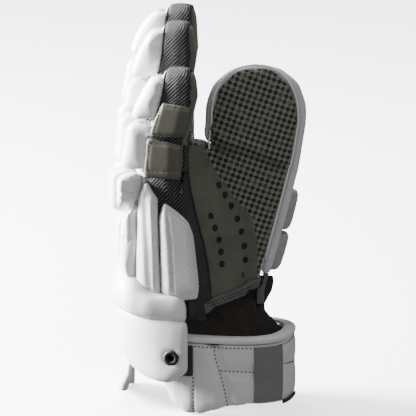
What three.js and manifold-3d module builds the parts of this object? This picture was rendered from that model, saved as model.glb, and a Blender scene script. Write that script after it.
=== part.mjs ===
// A lacrosse glove for the right hand, standing on its cuff with the fingers up.
// Millimetres. +X is the way the palm faces, +Y the thumb side, +Z up, and z = 0 is the surface it stands on.
// The leather and mesh shell is hollow from the wrist to the fingertips, and foam pads lie on its back.
import * as THREE from 'three';
import { mergeVertices } from 'three/addons/utils/BufferGeometryUtils.js';
import Module from 'manifold-3d';

const wasm = await Module();
wasm.setup();

// Shell
const WALL = 2; // leather and mesh
const GAP = 0.4; // between pieces that touch
const HEM_HEIGHT = 88; // foot of the palm above the surface
const HEM_LOW = HEM_HEIGHT - 8; // lower edge on the little finger's side
const HEM_RISE_AHEAD = 0.12; // slope of the lower edge towards the front and towards the thumb
const HEM_RISE_ACROSS = 0.09;
const HAND_LENGTH = 111; // foot of the palm to the fork of the fingers
const HAND_WIDTH = 92;
const HAND_DEPTH = 46; // back to palm
const KNUCKLE_ARC = 15; // how far the middle of the hand bows to the back
const ARC_MIDDLE = 8; // where across the hand the bow is deepest
const SEAM_WRAP = 4; // how far the palm leather wraps round the side
const BACK_WRAP = 8; // how far the backing wraps round the side

// Fingers
const FINGER_LENGTH = 131; // the middle finger
const FINGER_PITCH = 23.4;
const FINGER_WIDTH = 22.4;
const FINGER_DEPTH = 37;
const FINGER_AHEAD = 3; // roots ahead of the hand's middle
const FINGER_LEAN = 13; // how far the tips come forward
const FINGER_FAN = 2.2; // how far each tip moves out from its neighbour
const FINGER_CROWN = 13; // height of the rounded tip

// Thumb
const THUMB_LENGTH = 184; // from the foot of the palm to the tip
const THUMB_WIDTH = 68;
const THUMB_DEPTH = 24;
const THUMB_REACH = 41; // how far the thumb stands ahead of the hand's axis
const THUMB_SIDE = 27; // how far it stands to the thumb side
const THUMB_TURN = 16; // degrees that its palm face turns from -Y towards +X
const THUMB_CROWN = 34;
const THUMB_RIM = 8; // padded rim round the thumb's face
const RIM_FRONT = 3; // from the thumb's mid plane to the rim's front and back
const RIM_BACK = 5;
const RIM_TAIL = HEM_HEIGHT - 12; // lower end of the rim's outer side
const RIM_FOOT = HEM_HEIGHT + 117; // the rim's inner side ends where the thumb meets the palm
const FACE_SETBACK = 5; // from the thumb's mid plane to the seam of its palm face

// Web between palm and thumb
const WEB_DEPTH = 26;
const WEB_WIDTH = 58;
const WEB_TURN = -38; // degrees from +X towards -Y that it faces
const WEB_CROWN = 20;

// Pads
const FINGER_PAD = 18;
const TIP_PAD_END = 5; // thickness that a fingertip pad thins to
const THUMB_PAD = 15;
const BACK_PAD = 17;
const KNUCKLE_PAD = 22;
const SIDE_PAD = 9;
const FINGER_SIDE_PAD = 4.5;
const PAD_CHAMFER = 5;
const BLOCK_WRAP = 5; // how far a block comes round the sides of its limb
const PAD_CLEARANCE = 1.2; // groove between neighbouring pads

// Wrist roll and straps
const ROLL_FOOT = HEM_HEIGHT - 13; // its lower edge at the ends, and how much higher it is at the back
const ROLL_LIFT = 5;
const ROLL_HEIGHT = 22; // at its ends, and how much taller it is at the back
const ROLL_SWELL = 10;
const ROLL_THICKNESS = 20;
const ROLL_END = 11; // its thickness at the ends
const ELASTIC = 2.4;
const HEM_BINDING = 9; // height of the palm's lower binding
const BINDING = 1.8; // thickness of bindings

// Cuff and wristband
const CUFF_FOOT = 23; // its lower edge above the surface
const CUFF_DEPTH = 124; // front to back of the oval that the cuff follows
const CUFF_WIDTH = 114;
const CUFF_FLARE = 26; // how far its lower edge turns out at the far side, and in at the near side
const CUFF_TUCK = 7;
const CUFF_AHEAD = -7; // the middle of that oval ahead of the origin
const CUFF_THICKNESS = 7;
const LIP_THICKNESS = 7;
const LIP_HEIGHT = 58;
const LIP_FLARE = 8; // how far its near end turns out below the cuff
const BAND_HEIGHT = 60;
const BAND_THICKNESS = 9;
const BAND_DEPTH = 116; // front to back of the oval that the wristband follows
const BAND_WIDTH = 94;
const BAND_AHEAD = 20;
const BAND_SCALLOP = 9; // rise of its lower edge at the front, between its feet
const BAND_CORNER = 26; // its hidden end is cut back this far up
const ROLLED_EDGE = 6; // height of the rolled binding on the wristband
const PANEL_THICKNESS = 1.6;
const LINING = 1.6;
const GROMMET_RADIUS = 5.6;
const GROMMET_HOLE = 2.6;
const GROMMET_FLANGE = 1.4;
const GROMMET_HEIGHT = 50;

const HAND_TOP = HEM_HEIGHT + HAND_LENGTH;
const THUMB_TOP = HEM_HEIGHT + THUMB_LENGTH;
const ARC_REACH = HAND_WIDTH / 2 + ARC_MIDDLE;
const FLOOR_REACH = HEM_LOW - 20; // the uncut shell starts this low

// Shares of HAND_LENGTH up, HAND_DEPTH ahead, HAND_WIDTH across and KNUCKLE_ARC
const HAND_ROWS = [
  { up: 0, front: 0.42, back: -1.0, wide: 0.92, arc: 0.4 },
  { up: 0.47, front: 0.27, back: -0.9, wide: 0.96, arc: 0.7 },
  { up: 0.74, front: 0.12, back: -0.87, wide: 1, arc: 0.9 },
  { up: 1, front: 0.03, back: -0.85, wide: 1, arc: 1 },
];

// Shares of the finger's own length up, FINGER_LEAN ahead, FINGER_DEPTH and FINGER_WIDTH
const FINGER_ROWS = [
  { up: 0, ahead: 0, deep: 1, wide: 1 },
  { up: 0.25, ahead: 0.08, deep: 0.95, wide: 1 },
  { up: 0.72, ahead: 0.95, deep: 0.9, wide: 0.98 },
  { up: 1, ahead: 1, deep: 0.74, wide: 0.94 },
];

// Place across the hand in pitches, shares of FINGER_LENGTH, FINGER_LEAN and FINGER_PAD, and its pads' grooves
const FINGERS = [
  { name: 'little', place: -1.5, long: 0.67, lean: 1, pad: 1, grooves: [0, 0.48, 0.93] },
  { name: 'ring', place: -0.5, long: 0.925, lean: 1.1, pad: 1.1, grooves: [0, 0.36, 0.6, 0.955] },
  { name: 'middle', place: 0.5, long: 1, lean: 1, pad: 1.35, grooves: [0, 0.36, 0.66, 0.97] },
  { name: 'index', place: 1.5, long: 0.87, lean: 0.1, pad: 1.1, grooves: [0, 0.34, 0.62, 0.955] },
];

// Shares of THUMB_LENGTH up, THUMB_REACH ahead, THUMB_WIDTH and THUMB_DEPTH
const THUMB_ROWS = [
  { up: 0, ahead: 0.4, wide: 0.72, deep: 1 },
  { up: 0.28, ahead: 0.63, wide: 0.87, deep: 1 },
  { up: 0.56, ahead: 0.86, wide: 0.98, deep: 1 },
  { up: 0.78, ahead: 1, wide: 1, deep: 1 },
  { up: 1, ahead: 1, wide: 0.97, deep: 0.9 },
];

// Shares of HAND_LENGTH up, HAND_DEPTH ahead and to the thumb side, and WEB_WIDTH
const WEB_ROWS = [
  { up: 0, ahead: 0.32, side: 0.04, wide: 0.92 },
  { up: 0.5, ahead: 0.2, side: 0.06, wide: 1 },
  { up: 0.8, ahead: -0.02, side: 0.12, wide: 0.92 },
  { up: 1, ahead: -0.16, side: 0.2, wide: 0.8 },
];

const rad = THREE.MathUtils.degToRad;
const mix = THREE.MathUtils.lerp;
const spaced = (from, to, steps) => Array.from({ length: steps + 1 }, (_, i) => mix(from, to, i / steps));

// Every column of a table at a place between its rows
function sample(rows, up) {
  const last = rows.length - 1;
  const share = THREE.MathUtils.clamp(up, rows[0].up, rows[last].up);
  const next = Math.max(1, rows.findIndex((row) => row.up >= share));
  const [a, b] = [rows[next - 1], rows[next]];
  const t = (share - a.up) / (b.up - a.up);
  return Object.fromEntries(Object.keys(a).map((key) => [key, mix(a[key], b[key], t)]));
}

// Triangles of a closed body, turned to face outwards
function closedGeometry(points, triangles) {
  let volume = 0;
  for (const [a, b, c] of triangles) volume += points[a].dot(points[b].clone().cross(points[c]));
  const index = triangles.flatMap(([a, b, c]) => (volume < 0 ? [a, c, b] : [a, b, c]));
  const geometry = new THREE.BufferGeometry().setFromPoints(points);
  geometry.setIndex(index);
  return geometry;
}

function quadsBetween(lower, upper, count, closed) {
  const triangles = [];
  for (let i = 0; i < (closed ? count : count - 1); i++) {
    const j = (i + 1) % count;
    triangles.push([lower + i, lower + j, upper + j], [lower + i, upper + j, upper + i]);
  }
  return triangles;
}

// Rings of points joined one to the next, with a flat fan on each end, or a point where apex is given
function loft(rings, apex) {
  const count = rings[0].length;
  const points = rings.flat();
  const triangles = [];
  for (let r = 0; r < rings.length - 1; r++) triangles.push(...quadsBetween(r * count, (r + 1) * count, count, true));
  const middleOf = (ring) => ring.reduce((sum, p) => sum.add(p), new THREE.Vector3()).divideScalar(count);
  const fan = (start, middle, flip) => {
    points.push(middle);
    for (let i = 0; i < count; i++) {
      const edge = [start + i, start + ((i + 1) % count)];
      triangles.push(flip ? [edge[1], edge[0], points.length - 1] : [...edge, points.length - 1]);
    }
  };
  fan(0, middleOf(rings[0]), true);
  fan((rings.length - 1) * count, apex ?? middleOf(rings.at(-1)), false);
  return closedGeometry(points, triangles);
}

// A body between two grids of points that have the same rows and columns
function slab(outer, inner) {
  const [rows, columns] = [outer.length, outer[0].length];
  const points = [...outer.flat(), ...inner.flat()];
  const under = rows * columns;
  const triangles = [];
  const at = (r, c) => r * columns + c;
  for (let r = 0; r < rows - 1; r++) {
    triangles.push(...quadsBetween(at(r, 0), at(r + 1, 0), columns, false));
    const below = quadsBetween(under + at(r, 0), under + at(r + 1, 0), columns, false);
    triangles.push(...below.map(([a, b, c]) => [a, c, b]));
  }
  const border = [];
  for (let c = 0; c < columns; c++) border.push(at(0, c));
  for (let r = 1; r < rows; r++) border.push(at(r, columns - 1));
  for (let c = columns - 2; c >= 0; c--) border.push(at(rows - 1, c));
  for (let r = rows - 2; r > 0; r--) border.push(at(r, 0));
  border.forEach((a, i) => {
    const b = border[(i + 1) % border.length];
    triangles.push([a, under + b, b], [a, under + a, under + b]);
  });
  return closedGeometry(points, triangles);
}

function solidOf(geometry) {
  const bare = geometry.clone();
  bare.deleteAttribute('normal');
  bare.deleteAttribute('uv');
  const merged = mergeVertices(bare, 1e-4);
  const vertProperties = new Float32Array(merged.attributes.position.array);
  return new wasm.Manifold(new wasm.Mesh({ numProp: 3, vertProperties, triVerts: new Uint32Array(merged.index.array) }));
}

function geometryOf(solid) {
  const mesh = solid.getMesh();
  const geometry = new THREE.BufferGeometry();
  geometry.setAttribute('position', new THREE.BufferAttribute(new Float32Array(mesh.vertProperties), 3));
  geometry.setIndex(new THREE.BufferAttribute(new Uint32Array(mesh.triVerts), 1));
  return geometry;
}

const union = (solids) => solids.reduce((all, solid) => all.add(solid));

// The largest body of a cut, without the slivers that a curved cut leaves beside it
const mainBody = (solid) => solid.decompose().sort((a, b) => b.volume() - a.volume())[0];

function boxSolid(low, high) {
  const [a, b] = [new THREE.Vector3(...low), new THREE.Vector3(...high)];
  const size = b.clone().sub(a);
  const middle = a.add(b).divideScalar(2);
  return solidOf(new THREE.BoxGeometry(size.x, size.y, size.z).translate(middle.x, middle.y, middle.z));
}

// How far a place across the hand bows to the back, for a bow of the given depth
const bow = (y, depth) => depth * Math.max(0, 1 - ((y - ARC_MIDDLE) / ARC_REACH) ** 2);

// A limb is a stack of level rounded sections. Its depth runs along the angle turn, its width across that.
const hand = {
  turn: 0,
  low: FLOOR_REACH,
  top: HAND_TOP,
  crown: 0,
  square: 3.4,
  knots: HAND_ROWS.map((row) => HEM_HEIGHT + row.up * HAND_LENGTH),
  corners: 20,
  at(z) {
    const row = sample(HAND_ROWS, (z - HEM_HEIGHT) / HAND_LENGTH);
    return {
      x: ((row.front + row.back) / 2) * HAND_DEPTH,
      y: 0,
      deep: (row.front - row.back) * HAND_DEPTH,
      wide: row.wide * HAND_WIDTH,
      arc: row.arc * KNUCKLE_ARC,
    };
  },
};

function fingerLimb({ place, long, lean }) {
  const length = long * FINGER_LENGTH;
  const root = hand.at(HAND_TOP);
  const y = place * FINGER_PITCH;
  return {
    turn: 0,
    low: HAND_TOP + GAP,
    top: HAND_TOP + length,
    crown: FINGER_CROWN,
    square: 3,
    knots: FINGER_ROWS.map((row) => HAND_TOP + row.up * length),
    corners: 12,
    length,
    at(z) {
      const row = sample(FINGER_ROWS, (z - HAND_TOP) / length);
      const rise = THREE.MathUtils.clamp((z - HAND_TOP) / FINGER_LENGTH, 0, 1);
      return {
        x: root.x + FINGER_AHEAD - bow(y, root.arc) + row.ahead * lean * FINGER_LEAN,
        y: y + place * FINGER_FAN * rise,
        deep: row.deep * FINGER_DEPTH,
        wide: row.wide * FINGER_WIDTH,
        arc: 0,
      };
    },
  };
}

const thumb = {
  turn: rad(THUMB_TURN - 90),
  low: FLOOR_REACH,
  top: THUMB_TOP,
  crown: THUMB_CROWN,
  square: 2.8,
  knots: THUMB_ROWS.map((row) => HEM_HEIGHT + row.up * THUMB_LENGTH),
  corners: 16,
  at(z) {
    const row = sample(THUMB_ROWS, (z - HEM_HEIGHT) / THUMB_LENGTH);
    return {
      x: row.ahead * THUMB_REACH,
      y: THUMB_SIDE,
      deep: row.deep * THUMB_DEPTH,
      wide: row.wide * THUMB_WIDTH,
      arc: 0,
    };
  },
};

// The web between the palm and the thumb, turned half way between them
const web = {
  turn: rad(WEB_TURN),
  low: FLOOR_REACH,
  top: HAND_TOP + WEB_CROWN,
  crown: WEB_CROWN,
  square: 2.6,
  knots: WEB_ROWS.map((row) => HEM_HEIGHT + row.up * HAND_LENGTH),
  corners: 12,
  at(z) {
    const row = sample(WEB_ROWS, (z - HEM_HEIGHT) / HAND_LENGTH);
    return { x: row.ahead * HAND_DEPTH, y: row.side * HAND_DEPTH, deep: WEB_DEPTH, wide: row.wide * WEB_WIDTH, arc: 0 };
  },
};

const fingers = FINGERS.map((finger) => ({ ...finger, limb: fingerLimb(finger) }));

// From a limb's own depth and width to the glove's x and y
function placed(limb, centre, depth, width, z) {
  const [c, s] = [Math.cos(limb.turn), Math.sin(limb.turn)];
  return new THREE.Vector3(centre.x + depth * c - width * s, centre.y + depth * s + width * c, z);
}

// How much a limb's section shrinks inside its rounded tip
function crownShare(limb, z, offset) {
  const start = limb.top - limb.crown;
  if (!limb.crown || z <= start) return 1;
  return Math.sqrt(Math.max(0, 1 - ((z - start) / (limb.crown + offset)) ** 2));
}

// A point of a limb's skin at a height and an angle round it, moved out by an offset
function limbPoint(limb, z, angle, offset) {
  const section = limb.at(z);
  const share = crownShare(limb, z, offset);
  const [c, s] = [Math.cos(angle), Math.sin(angle)];
  const power = 2 / limb.square;
  const depth = Math.sign(c) * (section.deep / 2 + offset) * Math.sqrt(share) * Math.abs(c) ** power;
  const width = Math.sign(s) * (section.wide / 2 + offset) * share * Math.abs(s) ** power;
  return placed(limb, section, depth - bow(width, section.arc), width, z);
}

// The closed form of a limb, moved out by an offset, from a height up to its tip
function limbSolid(limb, offset, low = limb.low, high = limb.top + offset) {
  const start = limb.crown ? limb.top - limb.crown : high;
  const heights = [low, ...limb.knots.filter((z) => z > low + 1 && z < start - 1), start];
  if (limb.crown) {
    for (const lift of [30, 60]) heights.push(start + (limb.crown + offset) * Math.sin(rad(lift)));
  }
  const angles = spaced(0, 2 * Math.PI, limb.corners).slice(0, -1);
  const rings = heights.map((z) => angles.map((angle) => limbPoint(limb, z, angle, offset)));
  const peak = limb.top + offset;
  const apex = limb.crown ? placed(limb, limb.at(peak), 0, 0, peak) : undefined;
  return solidOf(loft(rings, apex));
}

// The space ahead of a surface: depth from edge(width, z) to far, in the direction of turn
function spaceAhead(turn, edge, far, low, high, steps = 6) {
  const [c, s] = [Math.cos(turn), Math.sin(turn)];
  const reach = 1.4 * HAND_WIDTH;
  const point = (depth, width, z) => new THREE.Vector3(depth * c - width * s, depth * s + width * c, z);
  const grid = (depthAt) =>
    spaced(low, high, steps).map((z) => spaced(-reach, reach, 8).map((w) => point(depthAt(w, z), w, z)));
  return solidOf(slab(grid(edge), grid(() => far)));
}

const FAR = 4 * HAND_WIDTH;
const CEILING = HAND_TOP + FINGER_LENGTH + THUMB_CROWN;

// Everything above the sloping lower edge of the hand, raised by a height
function aboveHem(raise) {
  const geometry = new THREE.BoxGeometry(2 * FAR, 2 * FAR, FAR).translate(0, 0, FAR / 2);
  geometry.rotateY(-Math.atan(HEM_RISE_AHEAD)).rotateX(Math.atan(HEM_RISE_ACROSS));
  return solidOf(geometry.translate(0, -HAND_WIDTH / 2, HEM_LOW + raise));
}

const palmSeam = (y, z) => {
  const section = hand.at(z);
  return section.x + section.deep / 2 - SEAM_WRAP - bow(y, section.arc);
};
const backSeam = (y, z) => {
  const section = hand.at(z);
  return section.x - section.deep / 2 + BACK_WRAP - bow(y, section.arc);
};
const thumbPlane = (lead) => (width, z) => {
  const section = thumb.at(z);
  return section.x * Math.cos(thumb.turn) + section.y * Math.sin(thumb.turn) + lead;
};

const fingerRoom = union(fingers.map(({ limb }) => limbSolid(limb, PAD_CLEARANCE)));
const webSolid = (offset, low) => limbSolid(web, offset, low).subtract(fingerRoom);
const skin = (offset, low) => union([hand, thumb].map((limb) => limbSolid(limb, offset, low)).concat(webSolid(offset, low)));
const outerSkin = skin(0, FLOOR_REACH);
const clearedSkin = skin(GAP, FLOOR_REACH);
const handHollow = limbSolid(hand, -WALL, FLOOR_REACH - WALL, HAND_TOP - WALL);
const thumbHollow = limbSolid(thumb, -WALL, FLOOR_REACH - WALL);
const webHollow = limbSolid(web, -WALL, FLOOR_REACH - WALL, HAND_TOP - WALL);
const fingerHollows = fingers.map(({ limb }) => limbSolid(limb, -WALL, HAND_TOP - 3 * WALL));
const shell = outerSkin.subtract(union([handHollow, thumbHollow, webHollow, ...fingerHollows])).intersect(aboveHem(0));

const palmSide = spaceAhead(0, palmSeam, FAR, 0, CEILING);
const offPalm = spaceAhead(0, (y, z) => palmSeam(y, z) - GAP, FAR, 0, CEILING);
const backSide = spaceAhead(0, backSeam, -FAR, 0, CEILING);
const offBack = spaceAhead(0, (y, z) => backSeam(y, z) + GAP, -FAR, 0, CEILING);
const thumbFace = spaceAhead(thumb.turn, thumbPlane(FACE_SETBACK), FAR, 0, CEILING);
const thumbRear = spaceAhead(thumb.turn, thumbPlane(FACE_SETBACK - GAP), -FAR, 0, CEILING);

const material = (color, roughness = 0.6, metalness = 0) =>
  new THREE.MeshStandardMaterial({ color, roughness, metalness });
const materials = {
  white: material(0xeceded, 0.42),
  textured: material(0xe2e3e3, 0.6),
  palm: material(0x58584c, 0.8),
  mesh: material(0x3a3c3e, 0.9),
  backing: material(0xd8d9d9, 0.8),
  taupe: material(0x6c6c5c, 0.55),
  grey: material(0xa6a8a9, 0.55),
  band: material(0xc3c5c6, 0.5),
  panel: material(0x77797b, 0.8),
  black: material(0x1d1e1f, 0.85),
  lining: material(0x4c463c, 0.9),
  metal: material(0x151617, 0.35, 0.8),
};

const glove = new THREE.Group();
function add(name, solid, finish) {
  const mesh = new THREE.Mesh(geometryOf(mainBody(solid)), finish);
  mesh.name = name;
  glove.add(mesh);
  return mesh;
}

// The hand's shell in its leather, mesh and backing
add('palm_leather', shell.intersect(palmSide).intersect(thumbFace), materials.palm);
add('thumb_backing', shell.intersect(palmSide).intersect(thumbRear), materials.backing);
add('hand_backing', shell.intersect(backSide), materials.backing);
add('hand_gusset', shell.subtract(offPalm).subtract(offBack), materials.mesh);

// Each finger's palm strip, its mesh sides over the tip, and its backing
for (const { name, limb } of fingers) {
  const stall = limbSolid(limb, 0).subtract(limbSolid(limb, -WALL, HAND_TOP - WALL));
  const seamAt = (side, lead) => (width, z) => {
    const section = limb.at(z);
    return section.x + side * (section.deep / 2 - SEAM_WRAP) + lead;
  };
  const cutter = (side, lead) => spaceAhead(0, seamAt(side, lead), side * FAR, HAND_TOP - 1, CEILING, 9);
  add(`finger_palm_${name}`, stall.intersect(cutter(1, 0)), materials.palm);
  add(`finger_backing_${name}`, stall.intersect(cutter(-1, 0)), materials.backing);
  add(`finger_gusset_${name}`, stall.subtract(cutter(1, -GAP)).subtract(cutter(-1, GAP)), materials.mesh);
}

// A chamfered block on the back of a limb, thick(z) deep, wider than the limb by grow on each side
function backBlock(limb, { low, high, thick, growLow = 0, growHigh = 0, chamfer = PAD_CHAMFER, rows = [] }) {
  const ends = chamfer * 0.7;
  const crowned = limb.top - limb.crown;
  const between = [...rows.map((row) => mix(low, high, row)), crowned, crowned + limb.crown * 0.5].sort((a, b) => a - b);
  const middle = between.filter((z) => z > low + 2 * ends && z < high - 2 * ends);
  const heights = [low, low + ends, ...middle, high - ends, high];
  const rings = heights.map((z, i) => {
    const section = limb.at(z);
    const shrink = i === 0 || i === heights.length - 1 ? chamfer * 0.8 : 0;
    const half = (section.wide / 2) * crownShare(limb, z, 0);
    const [left, right] = [growLow, growHigh].map((grow) => Math.max(half + grow, chamfer) - shrink / 2);
    const front = -section.deep / 2 + BLOCK_WRAP;
    const outer = -section.deep / 2 - thick(z) + shrink * Math.min(1, thick(z) / FINGER_PAD);
    const cut = Math.min(chamfer, thick(z) / 2, (left + right) / 4);
    return [
      [front, -left],
      [outer + cut, -left],
      [outer, -left + cut],
      [outer, right - cut],
      [outer + cut, right],
      [front, right],
    ].map(([depth, width]) => placed(limb, section, depth, width, z));
  });
  return solidOf(loft(rings)).subtract(limbSolid(limb, GAP, limb.low - 2 * WALL));
}

// Finger pads, from the hand to the tip
for (const { name, limb, pad, grooves } of fingers) {
  grooves.slice(1).forEach((_, i) => {
    const low = HAND_TOP + grooves[i] * limb.length + (i ? PAD_CLEARANCE / 2 : PAD_CLEARANCE);
    const high = HAND_TOP + grooves[i + 1] * limb.length - PAD_CLEARANCE / 2;
    const isTip = i === grooves.length - 2;
    const full = pad * FINGER_PAD;
    const thick = (z) => (isTip ? mix(full, TIP_PAD_END, ((z - low) / (high - low)) ** 2.4) : full);
    const rows = isTip ? [0.35, 0.6] : [];
    add(`finger_pad_${name}_${i + 1}`, backBlock(limb, { low, high, thick, rows }), materials.white);
  });
}

// A padded patch on a limb's skin between two angles. low and high are heights at each end of it.
const FLAT = { upward: [0, 0.1, 0.9, 1], swell: [0.6, 1, 1, 0.6] };
const BULGING = { upward: [0, 0.15, 0.4, 0.7, 0.92, 1], swell: [0.4, 0.85, 1, 0.95, 0.65, 0.35] };
function skinPad(limb, cleared, { from, to, low, high, thick, profile = FLAT, across = [0, 0.16, 0.84, 1], taper = 0.6 }) {
  const depthAt = (u) => (u === 0 || u === 1 ? taper : 1);
  const edge = (line, u) => (typeof line === 'function' ? line(u) : mix(line[0], line[1], u));
  const grid = (offset) =>
    profile.upward.map((v, row) =>
      across.map((u) => {
        const z = mix(edge(low, u), edge(high, u), v);
        return limbPoint(limb, z, rad(mix(from, to, u)), offset(u, row));
      }),
    );
  const outer = grid((u, row) => (typeof thick === 'function' ? thick(u) : thick) * depthAt(u) * profile.swell[row]);
  return solidOf(slab(outer, grid(() => -2 * WALL))).subtract(cleared);
}

// Wrist roll round the back, and the elastic that joins it to the palm
const arch = (u) => Math.sin(Math.PI * u) ** 0.8;
const roll = {
  from: 104,
  to: 280,
  low: (u) => ROLL_FOOT + ROLL_LIFT * arch(u),
  high: (u) => ROLL_FOOT + ROLL_HEIGHT + (ROLL_LIFT + ROLL_SWELL) * arch(u),
  thick: (u) => mix(ROLL_END, ROLL_THICKNESS, arch(u)),
  profile: BULGING,
  across: [0, 0.03, ...spaced(0.12, 0.88, 6), 0.97, 1],
  taper: 0.5,
};
const rollRoom = skinPad(hand, clearedSkin, {
  ...roll,
  low: (u) => roll.low(u) - PAD_CLEARANCE,
  high: (u) => roll.high(u) + PAD_CLEARANCE,
  thick: (u) => 1.6 * roll.thick(u),
  taper: 1,
});
add('wrist_roll', skinPad(hand, clearedSkin, roll), materials.white);
const elastic = { from: 282, to: 299, low: [ROLL_FOOT + 3, ROLL_FOOT + 5], high: [ROLL_FOOT + 22, ROLL_FOOT + 22] };
add('wrist_elastic', skinPad(hand, clearedSkin, { ...elastic, thick: ELASTIC, taper: 1 }), materials.black);

// Pads on the back of the hand and its outer side, by the angle round the hand: 180 is the back, 270 the outer side
// low and high are shares of HAND_LENGTH at the two angles, and ridge is high at more places between them
const SIDE_RIDGE = [[0, 0.71], [0.14, 0.8], [0.66, 0.7], [0.86, 0.66], [1, 0.6]];
const EDGE_RIDGE = [[0, 0.86], [0.12, 0.88], [0.45, 0.94], [0.86, 0.86], [1, 0.82]];
const BACK_PADS = [
  { name: 'side_pad', from: 265, to: 299, low: [0.11, 0.13], ridge: SIDE_RIDGE, thick: SIDE_PAD, finish: 'textured' },
  { name: 'edge_pad', from: 227, to: 264, low: [0.14, 0.11], ridge: EDGE_RIDGE, thick: SIDE_PAD, finish: 'textured' },
  { name: 'back_pad_outer', from: 204, to: 226, low: [0.24, 0.15], high: [0.66, 0.78], thick: BACK_PAD, finish: 'white' },
  { name: 'back_pad_ring', from: 181, to: 203, low: [0.24, 0.24], high: [0.66, 0.66], thick: BACK_PAD, finish: 'white' },
  { name: 'back_pad_middle', from: 158, to: 180, low: [0.24, 0.24], high: [0.66, 0.66], thick: BACK_PAD, finish: 'white' },
  { name: 'back_pad_index', from: 134, to: 157, low: [0.18, 0.24], high: [0.7, 0.66], thick: BACK_PAD, finish: 'white' },
  { name: 'back_pad_inner', from: 106, to: 133, low: [0.16, 0.18], high: [0.8, 0.8], thick: SIDE_PAD, finish: 'white' },
  { name: 'knuckle_little', from: 204, to: 225.5, low: [0.68, 0.8], high: [0.99, 0.98], thick: KNUCKLE_PAD, finish: 'white' },
  { name: 'knuckle_ring', from: 181, to: 203, low: [0.68, 0.68], high: [0.99, 0.99], thick: KNUCKLE_PAD, finish: 'white' },
  { name: 'knuckle_middle', from: 158, to: 180, low: [0.68, 0.68], high: [0.99, 0.99], thick: KNUCKLE_PAD, finish: 'white' },
  { name: 'knuckle_index', from: 134, to: 157, low: [0.72, 0.68], high: [0.99, 0.99], thick: KNUCKLE_PAD, finish: 'white' },
];
const upHand = (share) => HEM_HEIGHT + share * HAND_LENGTH;
const ridgeLine = (ridge) => {
  const rows = ridge.map(([up, share]) => ({ up, share }));
  return (u) => upHand(sample(rows, u).share);
};
for (const { name, finish, low, high, ridge, ...pad } of BACK_PADS) {
  const edges = { low: low.map(upHand), high: ridge ? ridgeLine(ridge) : high.map(upHand) };
  const across = ridge?.map(([u]) => u) ?? (pad.to - pad.from > 27 ? [0, 0.12, 0.36, 0.64, 0.88, 1] : undefined);
  add(name, skinPad(hand, clearedSkin, { ...pad, ...edges, across }).subtract(rollRoom), materials[finish]);
}

// Two pads on the outer side of the little finger, by the angle round it and shares of its length
const FINGER_SIDE_PADS = [
  { name: 'little_side_pad_1', from: 242, to: 312, low: [-0.035, -0.05], high: [0.34, 0.285] },
  { name: 'little_side_pad_2', from: 243, to: 316, low: [0.355, 0.35], high: [0.685, 0.635] },
];
const little = fingers[0].limb;
const upLittle = (share) => HAND_TOP + share * little.length;
for (const { name, low, high, ...pad } of FINGER_SIDE_PADS) {
  const edges = { low: low.map(upLittle), high: high.map(upLittle) };
  const across = [0, 0.1, 0.5, 0.9, 1];
  const cleared = limbSolid(little, GAP, little.low - 2 * WALL).add(clearedSkin);
  add(name, skinPad(little, cleared, { ...pad, ...edges, across, thick: FINGER_SIDE_PAD }), materials.taupe);
}

// Binding along the lower edge of the palm
const hemZone = (spare) => aboveHem(-spare).subtract(aboveHem(HEM_BINDING + spare));
const bindingSkin = skin(GAP + BINDING, FLOOR_REACH).subtract(clearedSkin);
add('palm_hem', bindingSkin.intersect(hemZone(0)).intersect(palmSide).intersect(thumbFace), materials.grey);
const hemRoom = skin(2 * GAP + BINDING, FLOOR_REACH).intersect(hemZone(GAP));

// The thumb's rim
const rimLimb = {
  ...thumb,
  top: THUMB_TOP + THUMB_RIM,
  at(z) {
    const section = thumb.at(z);
    return { ...section, wide: section.wide + 2 * THUMB_RIM };
  },
};
const rimSlice = spaceAhead(thumb.turn, thumbPlane(-RIM_BACK), FAR, 0, CEILING).subtract(
  spaceAhead(thumb.turn, thumbPlane(RIM_FRONT), FAR, 0, CEILING),
);
const innerFoot = boxSolid([-FAR, -FAR, 0], [THUMB_REACH / 2, FAR, RIM_FOOT]);
const fullRim = limbSolid(rimLimb, 0, FLOOR_REACH).intersect(rimSlice).subtract(boxSolid([-FAR, -FAR, 0], [FAR, FAR, RIM_TAIL]));
add('thumb_rim', fullRim.subtract(union([clearedSkin, innerFoot, fingerRoom, hemRoom])), materials.grey);

// The blocks on the thumb's back: low and high as shares of THUMB_LENGTH, the rest as shares of THUMB_WIDTH
const THUMB_PADS = [
  { low: 0.076, high: 0.2555, inner: -0.324, outer: 0.25 },
  { low: 0.261, high: 0.451, inner: -0.294, outer: 0.235 },
  { low: 0.4565, high: 0.712, inner: -0.118, outer: 0.059 },
  { low: 0.7175, high: 0.962, inner: 0.044, outer: 0.059 },
];
const handRoom = union([clearedSkin, fingerRoom]);
THUMB_PADS.forEach(({ low, high, inner, outer }, i) => {
  const [foot, head] = [low, high].map((share) => HEM_HEIGHT + share * THUMB_LENGTH);
  const grow = { growLow: inner * THUMB_WIDTH, growHigh: outer * THUMB_WIDTH };
  const thick = (z) => THUMB_PAD * (z > head - 1 && i === THUMB_PADS.length - 1 ? 0.7 : 1);
  const block = backBlock(thumb, { low: foot, high: head, thick, ...grow });
  add(`thumb_pad_${i + 1}`, block.subtract(handRoom), i < 2 ? materials.grey : materials.white);
});

// A wall that follows an oval between two angles. 0 is the front, 180 the back and 270 the outer side.
function ovalPoint(oval, angle, inward, z) {
  const [c, s] = [Math.cos(rad(angle)), Math.sin(rad(angle))];
  const power = 2 / oval.square;
  const x = Math.sign(c) * (oval.depth / 2 - inward) * Math.abs(c) ** power;
  const y = Math.sign(s) * (oval.width / 2 - inward) * Math.abs(s) ** power;
  return new THREE.Vector3(oval.ahead + x, y, z);
}

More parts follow.
